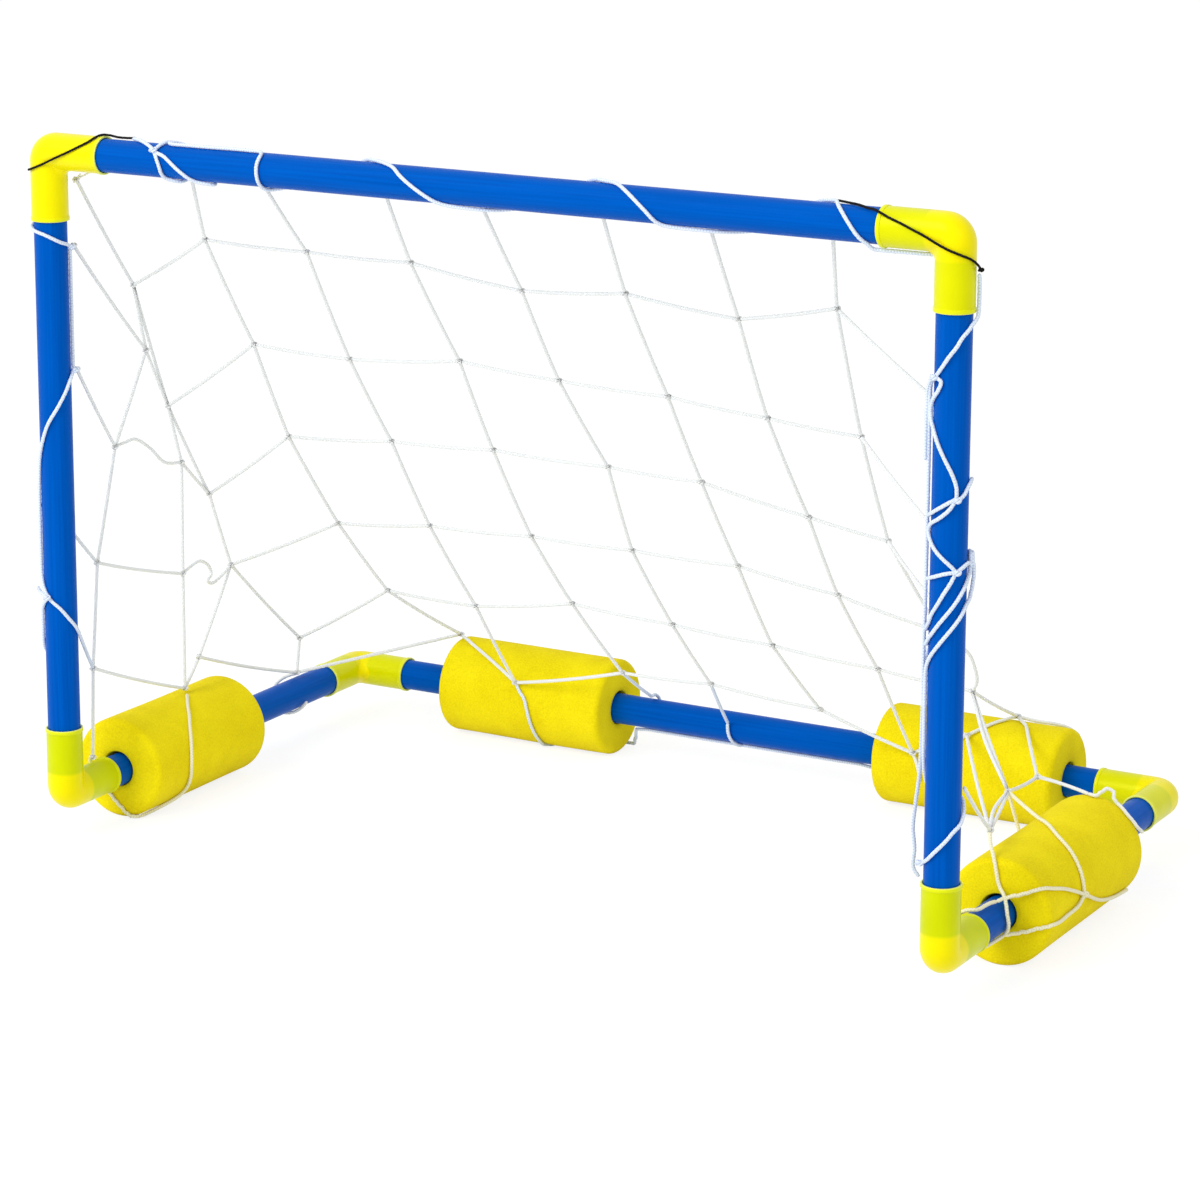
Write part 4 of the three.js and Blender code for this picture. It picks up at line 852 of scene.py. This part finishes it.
def lacing_side_right():
    """From the loose corner over the float to a knot on its outer side, on to the tube before its
    near end, and down its inner side."""
    shell = Shell()
    for stop in (FLOAT_TOP, INNER):
        strand(shell, g6, spot(RIGHT_FLOAT, stop, FLOAT_LACING_RADIUS))
    for stops in (
            [FLOAT_TOP, [0.479, 88], [0.4, 68], [0.364, 44], [0.343, 24], OUTER_KNOT],
            [INNER, [0.743, 185], [0.757, 215], [0.764, 238]],
            [OUTER_KNOT, [0.507, -14], [0.729, -29], [0.921, -37]],
            [OUTER_KNOT, [0.275, -2], [0.155, -4], [0.09, -5], [0.04, -4], [0.012, -3],
             [-0.006, -4, 0.93], [-0.013, -7, 0.76], [-0.015, -12, 0.56], [-0.016, -19, 0.42],
             [-0.022, -28, 0.24], [-0.045, -41, 0.08], [-0.07, -48, 0]],
            [OUTER_KNOT, [0.236, 15], [0.15, 23.5], [0.065, 30], [0.025, 33.5], [-0.002, 36, 0.93],
             [-0.012, 38, 0.77], [-0.016, 41, 0.52], [-0.024, 47, 0.29], [-0.055, 60, 0.08],
             [-0.09, 69, 0]]):
        wound_cord(shell, RIGHT_FLOAT, stops)
    lacing_knot(shell, RIGHT_FLOAT, OUTER_KNOT, FLOAT_LACING_RADIUS + FIT_GAP)
    wound_cord(shell, RIGHT_FRONT, [
        [0.84, 69], [0.77, 76], [0.69, 79], [0.61, 81], [0.57, 88], [0.556, 104], [0.553, 130],
        [0.556, 165]])
    wound_cord(shell, RIGHT_FRONT, [
        TUBE_FRONT, [0.81, -58], [0.74, -66], [0.68, -71], [0.62, -77], [0.575, -90], [0.556, -112],
        [0.553, -150]])
    free_cord(shell, [j6, *(around(RIGHT_FRONT, stop) for stop in LOOSE_END),
                      spot(RIGHT_FRONT, TUBE_FRONT, BASE_LACING_RADIUS)])
    shell.piece("lacing_side_right", "cord", LACING_PAINTED_FOAM_REFLECTION)


lacing_crossbar()
lacing_post_left()
lacing_post_right()
lacing_rear()
lacing_side_left()
lacing_side_right()

# Black ties at the two top corners: places as shares of an elbow leg, from the corner axis
LEFT_TIE = [
    [1.507, 0.045, 0.278], [1.36, 0.045, 0.268], [1.188, 0.045, 0.268], [1.06, 0.03, 0.287],
    [0.97, -0.03, 0.295], [0.92, -0.11, 0.268], [0.849, -0.202, 0.205], [0.699, -0.26, 0.123],
    [0.524, -0.287, 0.036], [0.327, -0.285, -0.05], [0.11, -0.276, -0.15], [-0.07, -0.284, -0.225],
    [-0.2, -0.208, -0.265], [-0.288, -0.02, -0.285], [-0.24, 0.17, -0.31], [-0.08, 0.28, -0.34],
    [0.06, 0.285, -0.38],
]
RIGHT_TIE = [
    [-1.67, 0.03, 0.272], [-1.509, 0, 0.262], [-1.322, -0.064, 0.256], [-1.184, -0.116, 0.238],
    [-1.06, -0.165, 0.232], [-0.97, -0.208, 0.212], [-0.835, -0.238, 0.162], [-0.652, -0.268, 0.105],
    [-0.478, -0.285, 0.04], [-0.311, -0.287, -0.028], [-0.154, -0.28, -0.106], [0.02, -0.287, -0.176],
    [0.162, -0.238, -0.234], [0.268, -0.106, -0.308], [0.31, 0, -0.39], [0.325, 0.05, -0.45],
]


def corner_tie(side, corner_x, route):
    """A thin string over the elbow and the crossbar, knotted at its lower end."""
    shell = Shell()
    points = np.array(route) * ELBOW_LEG + [corner_x, 0, CROSSBAR_HEIGHT]
    free_cord(shell, points, TIE_CORD_RADIUS)
    knot(shell, points[-1], TIE_KNOT_RADIUS, TIE_CORD_RADIUS)
    shell.piece(f"corner_tie_{side}", "string", TIE)


corner_tie("left", -HALF_SPACING, LEFT_TIE)
corner_tie("right", HALF_SPACING, RIGHT_TIE)


# Tubes, elbows and floats

TUBE_SIDES = 72
TUBE_ROWS = 41


def tube(name, middle, axis, first, span):
    """A pipe: outer wall, softened end, inner wall and softened end again, turned about its axis."""
    half = span / 2 - TUBE_INSET
    inner = TUBE_RADIUS - TUBE_WALL
    outer_lip = TUBE_RADIUS - EDGE_SOFTENING
    inner_lip = inner + EDGE_SOFTENING
    run = np.linspace(-half + EDGE_SOFTENING, half - EDGE_SOFTENING, TUBE_ROWS)
    profile = [*((s, TUBE_RADIUS) for s in run), (half, outer_lip), (half, inner_lip),
               *((s, inner) for s in run[::-1]), (-half, inner_lip), (-half, outer_lip)]
    shell = Shell()
    shell.add(turned(profile, middle, axis, first, TUBE_SIDES), [s for s, _ in profile], closed=True)
    shell.piece(name, "pipe", TUBE)


tube("crossbar", CROSSBAR_HEIGHT * Z, X, Y, POST_SPACING)
tube("rear_tube", BASE_DEPTH * Y, X, Y, POST_SPACING)
for side, x in (("left", -HALF_SPACING), ("right", HALF_SPACING)):
    tube(f"post_{side}", x * X + CROSSBAR_HEIGHT / 2 * Z, Z, X, CROSSBAR_HEIGHT)
    tube(f"side_tube_{side}", x * X + BASE_DEPTH / 2 * Y, Y, Z, BASE_DEPTH)

ELBOW_SIDES = 64
BEND_ROWS = 12
RIM_ROUNDING = 0.45
RIM_ROWS = 5
# Where the rim meets the leg: distances from the rim's end, and rises above the leg
RIM_FOOT = [(0.25, 0.05), (0.9, 0.0)]
LEG_START = 3.0
LEG_ROWS = 14
SOCKET_START = 4.0
SOCKET_ROWS = 8
PASSAGE_ROWS = 4


def rounded_rim():
    """Station and radius from the mouth to the bend: a bead with round edges, then the leg."""
    high = ELBOW_RADIUS + ELBOW_RIM_HEIGHT - RIM_ROUNDING
    end = ELBOW_LEG - ELBOW_RIM_WIDTH
    turns = [(RIM_ROUNDING * np.cos(t), RIM_ROUNDING * np.sin(t))
             for t in np.linspace(0, np.pi / 2, RIM_ROWS)]
    mouth = [(ELBOW_LEG - RIM_ROUNDING + c, high + s) for c, s in turns]
    back = [(end + RIM_ROUNDING - s, high + c) for c, s in turns]
    foot = [(end - away, ELBOW_RADIUS + rise) for away, rise in RIM_FOOT]
    leg = [(s, ELBOW_RADIUS) for s in np.linspace(end - LEG_START, ELBOW_BEND_RADIUS, LEG_ROWS)]
    return np.array(mouth + back + foot + leg)


def socket_wall():
    """Station and radius inside: the socket from its softened lip to its shoulder, and the passage."""
    shoulder = TUBE_INSET - FIT_GAP
    lip = [(ELBOW_LEG, SOCKET_RADIUS + EDGE_SOFTENING), (ELBOW_LEG - EDGE_SOFTENING, SOCKET_RADIUS)]
    socket = np.linspace(ELBOW_LEG - SOCKET_START, shoulder, SOCKET_ROWS)
    passage = np.linspace(shoulder, ELBOW_BEND_RADIUS, PASSAGE_ROWS)
    return np.array([*lip, *((s, SOCKET_RADIUS) for s in socket),
                     *((s, ELBOW_PASSAGE_RADIUS) for s in passage)])


def leg_rows(radii, leg, other):
    """Rows along one leg of an elbow. A point at the angle a lies r cos a outside the leg's axis. It
    runs straight, and stops where the legs meet at their mitre."""
    a = angles(ELBOW_SIDES)
    station, radius = radii[:, :1], radii[:, 1:]
    outside = radius * np.cos(a)
    over = np.maximum(-(ELBOW_BEND_RADIUS + outside), 0)
    run = np.maximum(station, ELBOW_BEND_RADIUS + over)
    return run[..., None] * leg - outside[..., None] * other


def elbow_wall(radii, first, second):
    """Rows and depths of one wall of an elbow: its first leg, its bend, and its second leg back to
    the mouth. In the bend a point turns at the distance b + r cos a, where that is above 0."""
    a = angles(ELBOW_SIDES)
    radius = radii[-1, 1]
    reach = ELBOW_BEND_RADIUS + radius * np.cos(a)
    centre = (ELBOW_BEND_RADIUS + np.maximum(-reach, 0))[:, None] * (first + second)
    turn = np.linspace(0, np.pi / 2, BEND_ROWS)[1:-1, None, None]
    bend = centre - np.maximum(reach, 0)[:, None] * (np.cos(turn) * second + np.sin(turn) * first)
    rows = np.concatenate([leg_rows(radii, first, second), bend, leg_rows(radii, second, first)[::-1]])
    wide = np.concatenate([radii[:, 1], np.full(len(bend), radius), radii[::-1, 1]])
    depth = ELBOW_LEG - radii[:, 0]
    rows = rows + (wide[:, None] * np.sin(a))[..., None] * np.cross(first, second)
    return rows, np.concatenate([depth, np.full(len(bend), ELBOW_LEG), depth[::-1]])


WEB_REACH = 57
WEB_ROWS = 19
WEB_TURN_ROWS = 8
WEB_SINK = 0.02
WEB_LIP = 1.2
WEB_LIP_SINK = 0.1


def inner_web(first, second):
    """A fillet in the inner corner. At the angle b from the corner's middle the legs' walls meet at
    (c, c) with c = R cos b, R sin b to the side. There the fillet's radius is f = F cos(90 b / 60)^2,
    and it runs from (c + f, c) to (c, c + f) by the points (c + f - f sin t, c + f - f cos t)."""
    b = np.radians(np.linspace(-WEB_REACH, WEB_REACH, WEB_ROWS))[:, None]
    f = ELBOW_WEB_RADIUS * np.cos(1.5 * b)**2
    c = ELBOW_RADIUS * np.cos(b) - WEB_SINK
    t = np.linspace(0, np.pi / 2, WEB_TURN_ROWS)
    lip, back = c - WEB_LIP_SINK, c - ELBOW_WALL / 2
    u = np.concatenate([c + f + WEB_LIP, c + f - f * np.sin(t), lip, back], 1)
    v = np.concatenate([lip, c + f - f * np.cos(t), c + f + WEB_LIP, back], 1)
    w = ELBOW_RADIUS * np.sin(b)
    return u[..., None] * first + v[..., None] * second + w[..., None] * np.cross(first, second)


def elbow(name, corner, first, second, plastic):
    """Two sockets that meet in a tight bend, with a bead round each mouth."""
    outside, depth_out = elbow_wall(rounded_rim(), first, second)
    inside, depth_in = elbow_wall(socket_wall(), first, second)
    rows = np.concatenate([outside, inside[::-1]]) + corner
    web = inner_web(first, second) + corner
    shell = Shell()
    shell.add(rows, np.concatenate([depth_out, depth_in[::-1]]), closed=True)
    shell.add(web, np.full(len(web), ELBOW_LEG))
    shell.piece(name, "socket", plastic, merge=True)


ELBOWS = [
    ("top_left", -1, 0, 1, X, -Z, ELBOW_THICK),
    ("top_right", 1, 0, 1, -X, -Z, ELBOW_MIDDLE),
    ("front_left", -1, 0, 0, Z, Y, ELBOW_THIN),
    ("front_right", 1, 0, 0, Z, Y, ELBOW_THIN),
    ("rear_left", -1, 1, 0, -Y, X, ELBOW_MIDDLE),
    ("rear_right", 1, 1, 0, -Y, -X, ELBOW_MIDDLE),
]
for name, across, deep, high, first, second, plastic in ELBOWS:
    corner = across * HALF_SPACING * X + deep * BASE_DEPTH * Y + high * CROSSBAR_HEIGHT * Z
    elbow(f"elbow_{name}", corner, first, second, plastic)

FLOAT_SIDES = 128
ROUNDING_ROWS = 9
SKIN_ROWS = 42
FACE_ROWS = 6
FACE_MARGINS = (0.8, 2.0)
# Round the mouth of the bore: depth from the float's end, and how much wider than the bore
BORE_MOUTH = [(0.7, 0.1), (0.25, 0.4)]
BORE_START = 6.0
BORE_ROWS = 9
FOAM_SWELL = 0.1
SWELL_START = 20.0


def float_profile(length):
    """Station and radius of a float: a quarter circle at either end of the skin, and the bore."""
    half = length / 2
    core = FLOAT_RADIUS - FLOAT_ROUNDING
    inset, margin = FACE_MARGINS
    mouth = [(-half + depth, FLOAT_BORE_RADIUS + wider) for depth, wider in BORE_MOUTH]
    face = [(-half, r) for r in np.linspace(FLOAT_BORE_RADIUS + inset, core - margin, FACE_ROWS)]
    rise = [(-half + FLOAT_ROUNDING * (1 - np.cos(t)), core + FLOAT_ROUNDING * np.sin(t))
            for t in np.linspace(0, np.pi / 2, ROUNDING_ROWS)]
    near = np.array([*mouth, *face, *rise])
    far = near[::-1] * [-1, 1]
    skin_run = [(s, FLOAT_RADIUS) for s in np.linspace(-half, half, SKIN_ROWS)[2:-2]]
    bore = [(s, FLOAT_BORE_RADIUS) for s in np.linspace(half - BORE_START, BORE_START - half, BORE_ROWS)]
    return np.concatenate([near, skin_run, far, bore])


def foam_float(body, x, y, axis, first, length):
    """A foam cylinder on the tube. Its skin sinks by up to 0.4 mm in slow waves that follow
    sin(3 a + s / 17) + sin(2 a - s / 23), and below the foot it is pressed flat."""
    middle = x * X + y * Y + FLOAT_RISE * Z
    profile = float_profile(length)
    rows = turned(profile, middle, axis, first, FLOAT_SIDES)
    a = angles(FLOAT_SIDES)
    s, radius = profile[:, :1], profile[:, 1:]
    swell = FOAM_SWELL * (np.sin(3 * a + s / 17) + np.sin(2 * a - s / 23) - 2)
    full = np.clip((radius - SWELL_START) / (FLOAT_RADIUS - SWELL_START), 0, 1)
    rows = rows + unit(rows - (middle + s[..., None] * axis)) * (swell * full)[..., None]
    rows[..., 2] = np.maximum(rows[..., 2], FLOAT_FOOT)
    shell = Shell()
    shell.add(rows, profile[:, 0], closed=True)
    made = shell.piece(f"float_{body}", "foam", FOAM, body)


for side, x, (start, length) in (
        ("left", -HALF_SPACING, SIDE_FLOAT_LEFT), ("right", HALF_SPACING, SIDE_FLOAT_RIGHT)):
    foam_float(f"side_{side}", x, start + length / 2, Y, Z, length)
for side, (start, length) in (("left", REAR_FLOAT_LEFT), ("right", REAR_FLOAT_RIGHT)):
    foam_float(f"rear_{side}", start + length / 2, BASE_DEPTH, X, Y, length)


# Floor and light

WHITE = linear(0xFFFFFF)
FLOOR_REACH = 6.0
FLOOR_GLOW_SHARE = 0.75
FLOOR_GLOW = 1.1
WORLD_LIGHT = 0.74
LAMP_SIZE = 2.0
LAMP_AIM = 0.2


def seen_directly(tree):
    """1 on what the camera meets, also by reflection or through clear plastic, and 0 elsewhere."""
    ray = node(tree, "LightPath").node.outputs
    direct = ray["Is Camera Ray"]
    for kind in ("Is Glossy Ray", "Is Transmission Ray"):
        direct = node(tree, "Math", {0: direct, 1: ray[kind]}, operation="MAXIMUM")
    return direct


def pale_floor(tree, bsdf):
    """Matt white board. What the camera and reflections meet is mostly lit from itself, so that it
    stays white and keeps a light shadow."""
    share = node(tree, "Math", {0: seen_directly(tree), 1: FLOOR_GLOW_SHARE}, operation="MULTIPLY")
    glow = node(tree, "Emission", {0: WHITE, 1: FLOOR_GLOW})
    mixed = node(tree, "MixShader", {0: share, 1: bsdf.outputs[0], 2: glow})
    tree.links.new(mixed, tree.nodes["Material Output"].inputs[0])


def add_floor():
    """A plain pale floor."""
    low, high = -FLOOR_REACH, FLOOR_REACH
    mesh = bpy.data.meshes.new("floor")
    mesh.from_pydata([(low, low, 0), (high, low, 0), (high, high, 0), (low, high, 0)], [], [(0, 1, 2, 3)])
    mesh.materials.append(material("matt_floor", pale_floor, Roughness=1.0, Specular_IOR_Level=0.0,
                                   Base_Color=linear(0xFAFAFA)))
    made = bpy.data.objects.new("floor", mesh)
    bpy.context.collection.objects.link(made)


def add_world():
    """Even light from all round, and plain white where the camera or a reflection meets it."""
    world = bpy.data.worlds.new("studio")
    world.use_nodes = True
    tree = world.node_tree
    tree.nodes.clear()
    light, white = [node(tree, "Background", {0: WHITE, 1: strength})
                    for strength in (WORLD_LIGHT, 1.0)]
    mixed = node(tree, "MixShader", {0: seen_directly(tree), 1: light, 2: white})
    node(tree, "OutputWorld", {0: mixed})
    bpy.context.scene.world = world


def add_lamp(name, place, watts):
    """A square soft lamp that looks at the goal."""
    data = bpy.data.lights.new(name, "AREA")
    data.shape = "SQUARE"
    data.size = LAMP_SIZE
    data.energy = watts
    made = bpy.data.objects.new(name, data)
    bpy.context.collection.objects.link(made)
    away = unit(place - LAMP_AIM * Z)
    aside = unit(np.cross(Z, away))
    turn = Matrix(np.stack([aside, np.cross(away, aside), away], axis=1).tolist()).to_4x4()
    made.matrix_world = Matrix.Translation(place) @ turn


bpy.context.scene.view_settings.view_transform = "Standard"
add_floor()
add_world()
add_lamp("key_lamp", (-1.0, -2.7, 2.4), 74)
add_lamp("fill_lamp", (2.6, -1.6, 2.2), 10)
